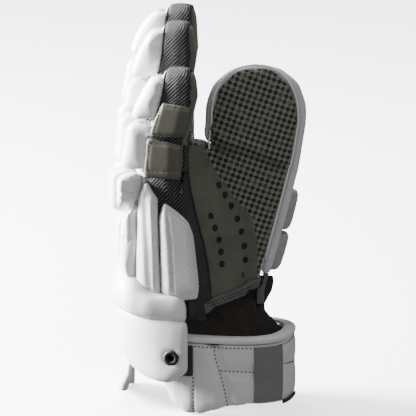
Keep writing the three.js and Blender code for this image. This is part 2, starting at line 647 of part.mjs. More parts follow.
function ovalWall(oval, { from, to, inward, thick, low, high, steps, bevel = 0 }) {
  const rows = bevel ? [0, 0.12, 0.88, 1] : [0, 1];
  const grid = (depth, cut) =>
    rows.map((v, row) =>
      spaced(0, 1, steps).map((u) => {
        const set = row === 0 || row === rows.length - 1 ? cut : 0;
        const [angle, z] = [mix(from, to, u), mix(low(u), high(u), v)];
        return ovalPoint(oval, angle, depth + set + (oval.tuck?.(angle, z) ?? 0), z);
      }),
    );
  return solidOf(slab(grid(inward, bevel), grid(inward + thick, 0)));
}

const level = (z) => () => z;
const cuffTuck = (angle, z) => {
  const near = THREE.MathUtils.smoothstep(angle, 150, 210) * THREE.MathUtils.smoothstep(270 - angle, 0, 40);
  const far = THREE.MathUtils.smoothstep(195 - angle, 0, 50) * THREE.MathUtils.smoothstep(angle, 95, 120);
  return (near * CUFF_TUCK - far * CUFF_FLARE) * Math.max(0, 1 - z / ROLL_FOOT) ** 1.5;
};
const cuffOval = {
  tuck: cuffTuck,
  depth: CUFF_DEPTH,
  width: CUFF_WIDTH,
  ahead: CUFF_AHEAD,
  square: 2.3,
};
const bandOval = { depth: BAND_DEPTH, width: BAND_WIDTH, ahead: BAND_AHEAD, square: 2.8 };

// Cuff flap round the back, with a hole at its outer end for the grommet. Its lower edge by angle, above CUFF_FOOT
const CUFF_EDGE = [[92, 15], [208, 22], [218, 19], [226, 13], [236, 9], [255, 5], [264, 4], [270, 6], [276, 14]];
const lineThrough = (points) => {
  const rows = points.map(([up, value]) => ({ up, value }));
  return (angle) => sample(rows, angle).value;
};
const cuffEdge = lineThrough(CUFF_EDGE);
const cuffHead = (u) => ROLL_FOOT + ROLL_LIFT * arch(u) - PAD_CLEARANCE - GAP;
const cuff = {
  from: 92,
  to: 276,
  inward: 0,
  thick: CUFF_THICKNESS,
  low: (u) => CUFF_FOOT + cuffEdge(mix(92, 276, u)),
  high: cuffHead,
  steps: 18,
  bevel: 2,
};
const grommetAt = ovalPoint(cuffOval, 267, 0, GROMMET_HEIGHT);
const barrel = GROMMET_RADIUS * 0.7;
const bore = new THREE.CylinderGeometry(barrel + GAP, barrel + GAP, 4 * CUFF_THICKNESS, 12);
const grommetHole = solidOf(bore.translate(grommetAt.x, grommetAt.y, grommetAt.z));
add('cuff_flap', ovalWall(cuffOval, cuff).subtract(grommetHole).subtract(rollRoom), materials.textured);
const LIP_EDGE = [[103, 0], [150, 0], [166, 3], [190, 8], [210, 14], [218, 20], [222, 28]];
const lipEdge = lineThrough(LIP_EDGE);
const lip = {
  from: 103,
  to: 222,
  inward: CUFF_THICKNESS + GAP,
  thick: LIP_THICKNESS,
  low: (u) => lipEdge(mix(103, 222, u)),
  high: level(LIP_HEIGHT),
};
const lipTuck = (angle, z) => {
  const near = THREE.MathUtils.smoothstep(angle, 160, 195) * LIP_FLARE * Math.max(0, 1 - z / ROLL_FOOT) ** 1.5;
  return Math.min(0, cuffTuck(angle, z)) - near;
};
const cuffRoom = ovalWall(cuffOval, { ...cuff, thick: CUFF_THICKNESS + GAP, low: (u) => cuff.low(u) - GAP });
const lipWall = ovalWall({ ...cuffOval, tuck: lipTuck }, { ...lip, steps: 9, bevel: 2 });
add('cuff_lip', lipWall.subtract(cuffRoom), materials.grey);

const ring = new THREE.LatheGeometry(
  [
    [GROMMET_HOLE, -CUFF_THICKNESS + 1],
    [GROMMET_RADIUS * 0.7, -CUFF_THICKNESS + 1],
    [GROMMET_RADIUS * 0.7, GAP],
    [GROMMET_RADIUS, GAP],
    [GROMMET_RADIUS * 0.85, GAP + GROMMET_FLANGE],
    [GROMMET_HOLE, GAP + GROMMET_FLANGE],
    [GROMMET_HOLE, -CUFF_THICKNESS + 1],
  ].map(([r, h]) => new THREE.Vector2(r, h)),
  12,
);
add('grommet', solidOf(ring.rotateX(Math.PI).translate(grommetAt.x, grommetAt.y, grommetAt.z)), materials.metal);

// Wristband, its rolled edge, and the plain panel and tab on its front
const { smoothstep } = THREE.MathUtils;
const scallop = (u) => BAND_SCALLOP * smoothstep(u, 0.2, 0.36) * (1 - smoothstep(u, 0.68, 0.8));
const cutCorner = (u) => BAND_CORNER * THREE.MathUtils.clamp(1 - u / 0.16, 0, 1);
const feet = (u) => scallop(u) + cutCorner(u);
const band = { from: -140, to: 118, inward: 0, thick: BAND_THICKNESS };
add('wristband', ovalWall(bandOval, { ...band, low: feet, high: level(BAND_HEIGHT), steps: 22, bevel: 1.5 }), materials.band);
const edge = { ...band, inward: -1, thick: BAND_THICKNESS + 2, steps: 22, bevel: 1.2 };
const rolled = { ...edge, low: level(BAND_HEIGHT + GAP), high: level(BAND_HEIGHT + ROLLED_EDGE) };
add('wristband_edge', ovalWall(bandOval, rolled), materials.band);
const panel = { from: -65, to: -31, inward: -PANEL_THICKNESS - GAP, thick: PANEL_THICKNESS, steps: 5 };
add('wristband_panel', ovalWall(bandOval, { ...panel, low: level(10), high: level(BAND_HEIGHT - 3) }), materials.panel);

const strap = { from: -113, to: -99, inward: -ELASTIC - GAP, thick: ELASTIC, low: level(33), high: level(BAND_HEIGHT - 1) };
add('cuff_strap', ovalWall(bandOval, { ...strap, steps: 2 }), materials.black);

// Cloth that joins the hand to the cuff at the back, and the hand to the wristband at the thumb side
function lining(stages, from, to, steps) {
  const at = (extra) =>
    stages.map((stage) =>
      spaced(0, 1, steps).map((u) => {
        const inward = stage.inward + extra;
        const angle = mix(stage.from ?? from, stage.to ?? to, u);
        return stage.limb
          ? limbPoint(stage.limb, stage.z, rad(angle), -inward)
          : ovalPoint(stage.oval, angle, inward, stage.z);
      }),
    );
  return solidOf(slab(at(0), at(LINING)));
}
const insideHand = WALL + 3 * GAP;
const backStages = [
  { oval: cuffOval, inward: CUFF_THICKNESS + 2.5 * GAP, z: BAND_HEIGHT + ROLLED_EDGE + PAD_CLEARANCE },
  { limb: hand, inward: insideHand, z: HEM_LOW - 7.5 },
  { limb: hand, inward: insideHand, z: HEM_LOW + 18 },
];
add('back_lining', lining(backStages, 114, 262, 12), materials.lining);
const insideBand = BAND_THICKNESS + 1 + GAP;
const thumbStages = [
  { oval: bandOval, inward: insideBand, z: BAND_HEIGHT - 10, from: 28, to: 92 },
  { oval: bandOval, inward: insideBand, z: BAND_HEIGHT + 4, from: 28, to: 92 },
  { limb: thumb, inward: insideHand, z: RIM_TAIL - 1.5, from: 110, to: 236 },
  { limb: thumb, inward: insideHand, z: HEM_LOW + 20, from: 110, to: 236 },
];
add('side_lining', lining(thumbStages, 0, 0, 7), materials.taupe);

// Stand the glove over the middle of its own outline
const box = new THREE.Box3().setFromObject(glove);
const middle = box.getCenter(new THREE.Vector3());
for (const mesh of glove.children) mesh.geometry.translate(-middle.x, -middle.y, -box.min.z);

export default glove;
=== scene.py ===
"""Dresses a right-hand lacrosse glove: foam pads, leather palm, knit sides, seams and a padded wristband."""

import logging
import math
from dataclasses import dataclass, field
from enum import Enum
from typing import Callable, Iterable, Sequence

import bmesh
import bpy
from mathutils import Matrix, Vector, noise
from mathutils.bvhtree import BVHTree
from mathutils.kdtree import KDTree


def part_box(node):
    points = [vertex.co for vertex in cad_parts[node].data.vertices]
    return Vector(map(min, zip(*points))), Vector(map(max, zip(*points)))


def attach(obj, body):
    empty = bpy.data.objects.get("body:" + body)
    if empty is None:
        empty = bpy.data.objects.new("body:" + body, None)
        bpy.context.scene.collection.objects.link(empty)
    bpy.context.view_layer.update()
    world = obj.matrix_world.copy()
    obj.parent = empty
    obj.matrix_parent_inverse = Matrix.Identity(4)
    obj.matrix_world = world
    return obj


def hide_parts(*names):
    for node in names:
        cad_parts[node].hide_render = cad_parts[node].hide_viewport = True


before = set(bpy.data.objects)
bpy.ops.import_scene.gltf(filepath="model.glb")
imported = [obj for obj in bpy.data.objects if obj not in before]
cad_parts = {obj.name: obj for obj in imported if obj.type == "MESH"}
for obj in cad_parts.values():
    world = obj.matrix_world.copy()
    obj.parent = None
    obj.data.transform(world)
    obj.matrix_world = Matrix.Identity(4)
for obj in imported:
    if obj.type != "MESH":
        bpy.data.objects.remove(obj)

log = logging.getLogger("glove")
logging.basicConfig(level=logging.INFO, format="%(message)s")

MM = 0.001
WHOLE_WAVE = math.tau
BODY = "root"
COORDS = "cloth"
# The point mark of painted shade in pressed seams, folds and creases.
SEAM_SHADE = "seam"
GRIP = "grip"
HOLE = "hole"
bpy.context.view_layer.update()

Path = list[Vector]
Trail = list[tuple[Vector, Vector]]
Tone = tuple[float, float, float]
Dots = tuple[tuple[float, float], ...]
Object = bpy.types.Object
Build = bmesh.types.BMesh
Socket = bpy.types.NodeSocket
NodeTree = bpy.types.NodeTree


class Slot(Enum):
    """The record's material slots."""

    WHITE = "white"
    TEXTURED = "textured"
    PALM = "palm"
    MESH = "mesh"
    BACKING = "backing"
    TAUPE = "taupe"
    GREY = "grey"
    BAND = "band"
    PANEL = "panel"
    BLACK = "black"
    LINING = "lining"
    METAL = "metal"


def mix(a: float, b: float, t: float) -> float:
    """The value a share t of the way from a to b."""
    return a + (b - a) * t


def smoothstep(low: float, high: float, value: float) -> float:
    """A smooth rise from 0 at low to 1 at high."""
    t = min(1.0, max(0.0, (value - low) / (high - low)))
    return t * t * (3 - 2 * t)


def signed_power(value: float, power: float) -> float:
    """The power of a number's size, with its sign kept."""
    return math.copysign(abs(value) ** power, value)


@dataclass(frozen=True)
class Section:
    """One level section of a limb, in millimetres."""

    x: float
    y: float
    deep: float
    wide: float
    arc: float = 0.0


@dataclass(frozen=True)
class Limb:
    """A stack of level rounded sections: the hand, the thumb or a finger.

    Its depth runs along the angle turn, and its width across that.
    """

    turn: float
    foot: float
    length: float
    square: float
    rows: tuple[tuple[float, float, float, float, float, float], ...]
    arc_middle: float = 8.0
    arc_reach: float = 54.0

    def at(self, z: float) -> Section:
        """The section at a height.

        Args:
            z: Height in millimetres.

        Returns:
            The section, between the two nearest rows of the table.
        """
        share = min(max((z - self.foot) / self.length, self.rows[0][0]), self.rows[-1][0])
        for low, high in zip(self.rows, self.rows[1:]):
            if share <= high[0]:
                t = (share - low[0]) / (high[0] - low[0])
                return Section(*(mix(a, b, t) for a, b in zip(low[1:], high[1:])))
        return Section(*self.rows[-1][1:])

    def bow(self, width: float, depth: float) -> float:
        """How far a place across the hand bows to the back."""
        return depth * max(0.0, 1 - ((width - self.arc_middle) / self.arc_reach) ** 2)

    def point(self, z: float, angle: float, offset: float = 0.0) -> Vector:
        """A point on the limb's skin, in metres.

        Args:
            z: Height in millimetres.
            angle: Degrees round the limb. 0 is its front.
            offset: Distance out from the skin in millimetres.

        Returns:
            The point in the glove's own frame.
        """
        row = self.at(z)
        a = math.radians(angle)
        power = 2 / self.square
        depth = signed_power(math.cos(a), power) * (row.deep / 2 + offset)
        width = signed_power(math.sin(a), power) * (row.wide / 2 + offset)
        depth -= self.bow(width, row.arc)
        c, s = math.cos(self.turn), math.sin(self.turn)
        return place(row.x + depth * c - width * s, row.y + depth * s + width * c, z)

    def round_place(self, co: Vector) -> tuple[float, float]:
        """Where a point lies round the limb.

        Args:
            co: The point, in metres.

        Returns:
            The angle in degrees from 0 to 360, and the height in millimetres.
        """
        x, y, z = unplace(co)
        row = self.at(z)
        c, s = math.cos(self.turn), math.sin(self.turn)
        dx, dy = x - row.x, y - row.y
        depth, width = dx * c + dy * s, -dx * s + dy * c
        depth += self.bow(width, row.arc)
        power = self.square / 2
        a = math.atan2(
            signed_power(width / (row.wide / 2), power),
            signed_power(depth / (row.deep / 2), power),
        )
        return math.degrees(a) % 360, z

    def surface_coords(self, middle: float) -> Callable[[Vector], Vector]:
        """Coordinates that follow the skin: the way round from the front, and the height.

        Args:
            middle: The height in millimetres whose outline is measured.

        Returns:
            A function from a point in metres to coordinates in millimetres.
        """
        steps = 90
        ring = [self.point(middle, 360 * i / steps) for i in range(steps + 1)]
        walked = [0.0]
        for a, b in zip(ring, ring[1:]):
            walked.append(walked[-1] + (b - a).length / MM)

        def coords(co: Vector) -> Vector:
            """The skin coordinates of one point."""
            angle, z = self.round_place(co)
            whole, part = divmod(angle / 360 * steps, 1)
            i = min(int(whole), steps - 1)
            return Vector((mix(walked[i], walked[i + 1], part), z, 0))

        return coords


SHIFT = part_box("grommet")[0].lerp(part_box("grommet")[1], 0.5) / MM - Vector((-11.764, -54.83, 50))


def place(x: float, y: float, z: float) -> Vector:
    """From the glove's drawing, in millimetres, to its own frame in metres."""
    return Vector((x + SHIFT.x, y + SHIFT.y, z)) * MM


def unplace(co: Vector) -> tuple[float, float, float]:
    """From the glove's own frame in metres to its drawing in millimetres."""
    return co.x / MM - SHIFT.x, co.y / MM - SHIFT.y, co.z / MM


def hand_limb() -> Limb:
    """The hand from the lower edge of the palm to the fork of the fingers."""
    deep, wide, arc = 46.0, 92.0, 15.0
    shares = (
        (0.0, 0.42, -1.0, 0.92, 0.4),
        (0.47, 0.27, -0.9, 0.96, 0.7),
        (0.74, 0.12, -0.87, 1.0, 0.9),
        (1.0, 0.03, -0.85, 1.0, 1.0),
    )
    rows = tuple(
        (up, (front + back) / 2 * deep, 0.0, (front - back) * deep, w * wide, a * arc)
        for up, front, back, w, a in shares
    )
    return Limb(0.0, 88.0, 111.0, 3.4, rows)


def finger_limb(across: float, long: float, lean: float) -> Limb:
    """One finger.

    Args:
        across: Place across the hand, in pitches of a finger.
        long: Length as a share of the middle finger's.
        lean: How far its tip comes forward, as a share of the usual lean.

    Returns:
        The finger from the fork to its tip.
    """
    shares = ((0.0, 0.0, 1.0, 1.0), (0.25, 0.08, 0.95, 1.0), (0.72, 0.95, 0.9, 0.98), (1.0, 1.0, 0.74, 0.94))
    hand = hand_limb()
    root = hand.at(199.0)
    y = across * 23.4
    length = long * 131.0
    rows = tuple(
        (
            up,
            root.x + 3 - hand.bow(y, root.arc) + ahead * lean * 13,
            y + across * 2.2 * min(1.0, up * long),
            deep * 37,
            wide * 22.4,
            0.0,
        )
        for up, ahead, deep, wide in shares
    )
    return Limb(0.0, 199.0, length, 3.0, rows)


def thumb_limb() -> Limb:
    """The thumb, whose palm face is turned towards the fingers."""
    shares = (
        (0.0, 0.4, 0.72, 1.0),
        (0.28, 0.63, 0.87, 1.0),
        (0.56, 0.86, 0.98, 1.0),
        (0.78, 1.0, 1.0, 1.0),
        (1.0, 1.0, 0.97, 0.9),
    )
    rows = tuple((up, ahead * 41, 27.0, deep * 24, wide * 68, 0.0) for up, ahead, wide, deep in shares)
    return Limb(math.radians(16 - 90), 88.0, 184.0, 2.8, rows)


HAND = hand_limb()
THUMB = thumb_limb()
FINGERS: dict[str, Limb] = {
    "little": finger_limb(-1.5, 0.67, 1.0),
    "ring": finger_limb(-0.5, 0.925, 1.1),
    "middle": finger_limb(0.5, 1.0, 1.0),
    "index": finger_limb(1.5, 0.87, 0.1),
}


@dataclass(frozen=True)
class Oval:
    """The oval that the cuff or the wristband follows, in millimetres."""

    depth: float
    width: float
    ahead: float
    square: float

    def point(self, angle: float, z: float, inward: float = 0.0) -> Vector:
        """A point on the oval.

        Args:
            angle: Degrees round it. 0 is the front and 270 the outer side.
            z: Height in millimetres.
            inward: Distance inside the oval in millimetres.

        Returns:
            The point in metres.
        """
        a = math.radians(angle)
        power = 2 / self.square
        x = self.ahead + signed_power(math.cos(a), power) * (self.depth / 2 - inward)
        y = signed_power(math.sin(a), power) * (self.width / 2 - inward)
        return place(x, y, z)

    def angle(self, co: Vector) -> float:
        """The angle of a point round the oval, in radians from -pi to pi."""
        x, y, _z = unplace(co)
        power = self.square / 2
        return math.atan2(
            signed_power(y / (self.width / 2), power),
            signed_power((x - self.ahead) / (self.depth / 2), power),
        )

    def surface_coords(self, co: Vector) -> Vector:
        """The way round the oval and the height of a point in metres, in millimetres."""
        way = (self.angle(co) % math.tau) * (self.depth + self.width) / 4
        return Vector((way, co.z / MM, 0))


CUFF = Oval(124.0, 114.0, -7.0, 2.3)
BAND = Oval(116.0, 94.0, 20.0, 2.8)


def face_stretch(co: Vector) -> Vector:
    """Draws the thumb's palm face out over its rim.

    Args:
        co: A point of the palm leather in metres.

    Returns:
        The point's new place.
    """
    x, y, z = unplace(co)
    if z < 196:
        return co
    row = THUMB.at(z)
    c, s = math.cos(THUMB.turn), math.sin(THUMB.turn)
    dx, dy = x - row.x, y - row.y
    depth, width = dx * c + dy * s, -dx * s + dy * c
    on_face = smoothstep(2.0, 4.5, depth) * smoothstep(-46, -30, width)
    half = row.wide / 2 * math.sqrt(max(0.05, 1 - (max(0.0, z - 238) / 34) ** 2))
    near_edge = smoothstep(0.35, 1.0, abs(width) / half)
    grow = 1.5 if width > 0 else 4.5 * smoothstep(200, 216, z)
    width += math.copysign(grow * near_edge, width) * on_face
    z += 8.0 * smoothstep(222, 274, z) * on_face
    return place(row.x + depth * c - width * s, row.y + depth * s + width * c, z)


def thumb_plane(co: Vector) -> Vector:
    """Coordinates in the plane of the thumb's palm face, in millimetres."""
    x, y, z = unplace(co)
    c, s = math.cos(THUMB.turn), math.sin(THUMB.turn)
    return Vector((-(x - 41) * s + (y - 27) * c, z, 0))


# Working on meshes


def cad_copy(nodes: Sequence[str]) -> Build:
    """The meshes of some CAD nodes in one bmesh, with their loose triangles joined."""
    bm = bmesh.new()
    for node in nodes:
        bm.from_mesh(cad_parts[node].data)
    bmesh.ops.remove_doubles(bm, verts=bm.verts, dist=1e-6)
    return bm


def new_object(name: str, bm: Build, smooth: bool = True) -> Object:
    """Puts a bmesh into a new object at the origin and frees it.

    Args:
        name: The object's name.
        bm: The finished bmesh.
        smooth: Whether its faces are shaded smooth.

    Returns:
        The object, linked to the scene.
    """
    mesh = bpy.data.meshes.new(name)
    for face in bm.faces:
        face.smooth = smooth
    bm.to_mesh(mesh)
    bm.free()
    obj = bpy.data.objects.new(name, mesh)
    bpy.context.scene.collection.objects.link(obj)
    return obj


def apply_modifiers(obj: Object) -> None:
    """Bakes an object's modifiers into its mesh."""
    graph = bpy.context.evaluated_depsgraph_get()
    mesh = bpy.data.meshes.new_from_object(obj.evaluated_get(graph))
    old = obj.data
    obj.modifiers.clear()
    obj.data = mesh
    bpy.data.meshes.remove(old)


def remesh(obj: Object, voxel: float) -> None:
    """Replaces an object's mesh by an even one.

    Args:
        obj: The object.
        voxel: The size of a face in millimetres.
    """
    change = obj.modifiers.new("even", "REMESH")
    change.mode = "VOXEL"
    change.voxel_size = voxel * MM
    change.use_smooth_shade = True
    apply_modifiers(obj)


def smooth(bm: Build, times: int, factor: float) -> None:
    """Moves each point towards the middle of its neighbours a number of times."""
    for _ in range(times):
        bmesh.ops.smooth_vert(
            bm, verts=bm.verts, factor=factor, use_axis_x=True, use_axis_y=True, use_axis_z=True
        )


def relax(obj: Object, times: int, keep: float = 0.0) -> None:
    """Smooths an object's mesh, and then moves it out again by what the smoothing took.

    Args:
        obj: The object.
        times: How often each point moves to the middle of its neighbours.
        keep: Distance that the surface moves out afterwards, in millimetres.
    """
    bm = bmesh.new()
    bm.from_mesh(obj.data)
    smooth(bm, times, 0.5)
    bm.normal_update()
    if keep:
        for vert in bm.verts:
            vert.co += vert.normal * keep * MM
    bm.to_mesh(obj.data)
    bm.free()
    obj.data.update()


def displace(obj: Object, height: Callable[[Vector, Vector], float]) -> None:
    """Moves each point along its normal.

    Args:
        obj: The object.
        height: From a point in metres and its normal to a distance in millimetres.
    """
    mesh = obj.data
    moves = [vert.normal * height(vert.co, vert.normal) * MM for vert in mesh.vertices]
    for vert, move in zip(mesh.vertices, moves):
        vert.co += move
    mesh.update()


def inflate(obj: Object, pressure: float, cap: float, frames: int = 12) -> None:
    """Swells a pad as stuffed fabric, by a short cloth simulation at twelve times its size.

    Args:
        obj: The pad, as an even closed mesh.
        pressure: The pressure inside it.
        cap: The most that a point may move, in millimetres.
        frames: How many steps the simulation takes.
    """
    big = 12.0
    before = [vert.co.copy() for vert in obj.data.vertices]
    middle = sum(before, Vector()) / len(before)
    to_big = Matrix.Scale(big, 4) @ Matrix.Translation(-middle)
    obj.data.transform(to_big)
    cloth = obj.modifiers.new("stuffing", "CLOTH")
    settings = cloth.settings
    settings.quality = 4
    settings.mass = 0.4
    settings.tension_stiffness = settings.compression_stiffness = 12
    settings.shear_stiffness = 6
    settings.bending_stiffness = 2.5
    settings.use_pressure = True
    settings.uniform_pressure_force = pressure
    settings.effector_weights.gravity = 0
    cloth.collision_settings.use_collision = False
    cloth.point_cache.frame_start, cloth.point_cache.frame_end = 1, frames
    for step in range(1, frames + 1):
        bpy.context.scene.frame_set(step)
    apply_modifiers(obj)
    obj.data.transform(to_big.inverted())
    for vert, old in zip(obj.data.vertices, before):
        move = vert.co - old
        if move.length > cap * MM:
            move *= cap * MM / move.length
        vert.co = old + move
    bpy.context.scene.frame_set(1)
    obj.data.update()


def set_coords(obj: Object, coords: Callable[[Vector], Vector]) -> None:
    """Writes the coordinates that a weave or print follows to the object's mesh.

    Args:
        obj: The object.
        coords: From a point in metres to coordinates in millimetres.
    """
    layer = obj.data.attributes.new(COORDS, "FLOAT_VECTOR", "POINT")
    values: list[float] = []
    for vert in obj.data.vertices:
        values.extend(coords(vert.co))
    layer.data.foreach_set("vector", values)


def surface_of(obj: Object) -> BVHTree:
    """A search tree over an object's faces."""
    bm = bmesh.new()
    bm.from_mesh(obj.data)
    tree = BVHTree.FromBMesh(bm)
    bm.free()
    return tree


def trail_round(tree: BVHTree, limb: Limb, places: Iterable[tuple[float, float]], out: float = 45.0) -> Trail:
    """A line drawn on a surface that lies round a limb.

    Args:
        tree: The surface.
        limb: The limb that it lies round.
        places: Angle in degrees and height in millimetres of each point.
        out: How far outside the limb the search starts, in millimetres.

    Returns:
        Points on the surface with its normals.
    """
    trail: Trail = []
    for angle, z in places:
        start = limb.point(z, angle, out)
        way = limb.point(z, angle, -3) - start
        co, normal, _index, _far = tree.ray_cast(start, way.normalized(), way.length)
        if co is not None:
            trail.append((co, normal))
    return trail


def trail_near(tree: BVHTree, points: Iterable[Vector]) -> Trail:
    """The nearest points of a surface to some points, with its normals."""
    trail: Trail = []
    for point in points:
        co, normal, _index, _far = tree.find_nearest(point)
        if co is not None:
            trail.append((co, normal))
    return trail


def line_of(trail: Trail) -> Path:
    """The points of a trail without their normals."""
    return [co for co, _normal in trail]


def between(points: Sequence[tuple[float, float]], step: float) -> list[tuple[float, float]]:
    """A line through some points of a plane, with a point at every step."""
    line: list[tuple[float, float]] = []
    for (ax, ay), (bx, by) in zip(points, points[1:]):
        count = max(1, round(math.hypot(bx - ax, by - ay) / step))
        line.extend((mix(ax, bx, i / count), mix(ay, by, i / count)) for i in range(count))
    return line + [points[-1]]


@dataclass(frozen=True)
class FrontView:
    """The view that the glove's drawing was made from, 416 dots wide and a little from above."""

    turn: float = 12.0
    rise: float = 12.0
    dot: float = 0.8235
    middle: tuple[float, float] = (208.0, 208.0)
    across: float = 6.56
    up: float = 159.2
    distance: float = 3.81

    def axes(self) -> tuple[Vector, Vector, Vector]:
        """The view's right, up and backward directions."""
        a, e = math.radians(self.turn), math.radians(self.rise)
        right = Vector((math.cos(a), math.sin(a), 0))
        back = Vector((math.sin(a) * math.cos(e), -math.cos(a) * math.cos(e), math.sin(e)))
        return right, back.cross(right), back

    def target(self) -> Vector:
        """The point in the middle of the view."""
        right, up, _back = self.axes()
        shift = Vector((SHIFT.x, SHIFT.y, 0)) * MM
        return right * self.across * MM + up * self.up * MM + shift

    def eye(self) -> Vector:
        """Where the camera stands."""
        return self.target() + self.axes()[2] * self.distance

    def hit(self, tree: BVHTree, x: float, y: float) -> tuple[Vector, Vector] | None:
        """The point of a surface behind a dot of the view, with its normal."""
        right, up, _back = self.axes()
        goal = self.target() + (right * (x - self.middle[0]) - up * (y - self.middle[1])) * self.dot * MM
        eye = self.eye()
        co, normal, _index, _far = tree.ray_cast(eye, (goal - eye).normalized())
        return (co, normal) if co is not None else None

    def trail(self, tree: BVHTree, dots: Sequence[tuple[float, float]], step: float = 0.8) -> Trail:
        """A line of the view laid on a surface.

        Args:
            tree: The surface.
            dots: Corners of the line, in dots from the view's left and top.
            step: Distance between its points in dots.

        Returns:
            Points on the surface with its normals.
        """
        hits = [self.hit(tree, x, y) for x, y in between(dots, step)]
        return [hit for hit in hits if hit]


VIEW = FrontView()


def tube(path: Path, radius: float, sides: int, normals: Path) -> Build:
    """A round tube along a path, closed at its ends.

    Args:
        path: Its middle line in metres.
        radius: Its radius in millimetres.
        sides: Number of sides.
        normals: A direction across it at each point.

    Returns:
        The tube's bmesh.
    """
    bm = bmesh.new()
    rings = []
    for i, co in enumerate(path):
        along = (path[min(i + 1, len(path) - 1)] - path[max(i - 1, 0)]).normalized()
        side = along.cross(normals[i])
        side = side.normalized() if side.length > 1e-4 else along.orthogonal().normalized()
        up = side.cross(along).normalized()
        turn = Matrix((side * radius * MM, up * radius * MM, along)).transposed().to_4x4()
        made = bmesh.ops.create_circle(bm, segments=sides, radius=1, matrix=Matrix.Translation(co) @ turn)
        rings.append(list(dict.fromkeys(edge for vert in made["verts"] for edge in vert.link_edges)))
    for low, high in zip(rings, rings[1:]):
        bmesh.ops.bridge_loops(bm, edges=low + high)
    for ring in (rings[0], rings[-1]):
        bmesh.ops.edgeloop_fill(bm, edges=ring)
    bmesh.ops.recalc_face_normals(bm, faces=bm.faces)
    return bm


def sheet(steps: int, rows: int, place_at: Callable[[float, float], Vector], thick: float) -> Build:
    """A thin closed sheet.

    Args:
        steps: Faces along it.
        rows: Faces across it.
        place_at: From shares along and across to a point in metres.
        thick: Its thickness in millimetres.

    Returns:
        The sheet's bmesh.
    """
    bm = bmesh.new()
    bmesh.ops.create_grid(bm, x_segments=steps, y_segments=rows, size=1)
    for vert in bm.verts:
        vert.co = place_at((vert.co.x + 1) / 2, (vert.co.y + 1) / 2)
    bmesh.ops.recalc_face_normals(bm, faces=bm.faces)
    bmesh.ops.solidify(bm, geom=list(bm.faces), thickness=thick * MM)
    return bm


def eased(trail: Trail, rounds: int = 3) -> Trail:
    """A trail with its small steps smoothed away."""
    for _ in range(rounds):
        inner = [
            ((a[0] + b[0] * 2 + c[0]) / 4, (a[1] + b[1] * 2 + c[1]).normalized())
            for a, b, c in zip(trail, trail[1:], trail[2:])
        ]
        trail = trail[:1] + inner + trail[-1:]
    return trail


# Finishes


class Graph:
    """Adds nodes to a shader tree."""

    def __init__(self, tree: NodeTree) -> None:
        """Keeps the tree that the nodes are added to."""
        self.tree = tree

    def node(self, kind: str, **settings: object) -> bpy.types.Node:
        """Adds a node and sets its own properties."""
        node = self.tree.nodes.new(kind)
        for key, value in settings.items():
            setattr(node, key, value)
        return node

    def put(self, socket: Socket, value: object) -> None:
        """Gives an input a value, or links an output to it."""
        if isinstance(value, Socket):
            self.tree.links.new(value, socket)
        else:
            socket.default_value = value

    def math(self, operation: str, *values: object) -> Socket:
        """The output of a Math node."""
        node = self.node("ShaderNodeMath", operation=operation)
        for socket, value in zip(node.inputs, values):
            self.put(socket, value)
        return node.outputs[0]

    def times(self, a: object, b: object) -> Socket:
        """The product of two numbers."""
        return self.math("MULTIPLY", a, b)

    def plus(self, a: object, b: object) -> Socket:
        """The sum of two numbers."""
        return self.math("ADD", a, b)

    def less(self, a: object, b: object) -> Socket:
        """The first number less the second."""
        return self.math("SUBTRACT", a, b)

    def over(self, a: object, b: object) -> Socket:
        """The first number over the second."""
        return self.math("DIVIDE", a, b)

    def wave(self, kind: str, value: object, pitch: object, turn: float = WHOLE_WAVE) -> Socket:
        """A sine or cosine of a length, one wave to a pitch, or half a wave where turn is pi."""
        return self.math(kind, self.times(self.over(value, pitch), turn))

    def rise(
        self, value: object, low: float, high: float, start: float = 0.0, end: float = 1.0
    ) -> Socket:
        """A smooth change from start to end as value goes from low to high."""
        node = self.node("ShaderNodeMapRange", interpolation_type="SMOOTHSTEP")
        for socket, item in zip(node.inputs, (value, low, high, start, end)):
            self.put(socket, item)
        return node.outputs[0]

    def blend(self, share: object, a: object, b: object, way: str = "MIX") -> Socket:
        """A mix of two colours."""
        node = self.node("ShaderNodeMix", data_type="RGBA", blend_type=way)
        self.put(node.inputs[0], share)
        self.put(node.inputs[6], (*a, 1) if isinstance(a, tuple) else a)
        self.put(node.inputs[7], (*b, 1) if isinstance(b, tuple) else b)
        return node.outputs[2]

    def turned(self, vector: object, degrees: float, scale: Sequence[float] = (1, 1, 1)) -> Socket:
        """A vector turned about Z and scaled."""
        node = self.node("ShaderNodeMapping")
        self.put(node.inputs["Vector"], vector)
        node.inputs["Rotation"].default_value = (0, 0, math.radians(degrees))
        node.inputs["Scale"].default_value = tuple(scale)
        return node.outputs[0]

    def axes(self, vector: object) -> Sequence[Socket]:
        """A vector's three numbers."""
        node = self.node("ShaderNodeSeparateXYZ")
        self.put(node.inputs[0], vector)
        return node.outputs

    def noise(self, vector: object, scale: object, detail: float = 3.0, rough: float = 0.5) -> Socket:
        """A noise from 0 to 1."""
        node = self.node("ShaderNodeTexNoise")
        self.put(node.inputs["Vector"], vector)
        self.put(node.inputs["Scale"], scale)
        self.put(node.inputs["Detail"], detail)
        self.put(node.inputs["Roughness"], rough)
        return node.outputs["Fac"]

    def cells(self, vector: object, scale: object) -> Socket:
        """The distance to the nearest of many scattered points."""
        node = self.node("ShaderNodeTexVoronoi", feature="SMOOTH_F1")
        self.put(node.inputs["Vector"], vector)
        self.put(node.inputs["Scale"], scale)
        node.inputs["Smoothness"].default_value = 0.35
        return node.outputs["Distance"]


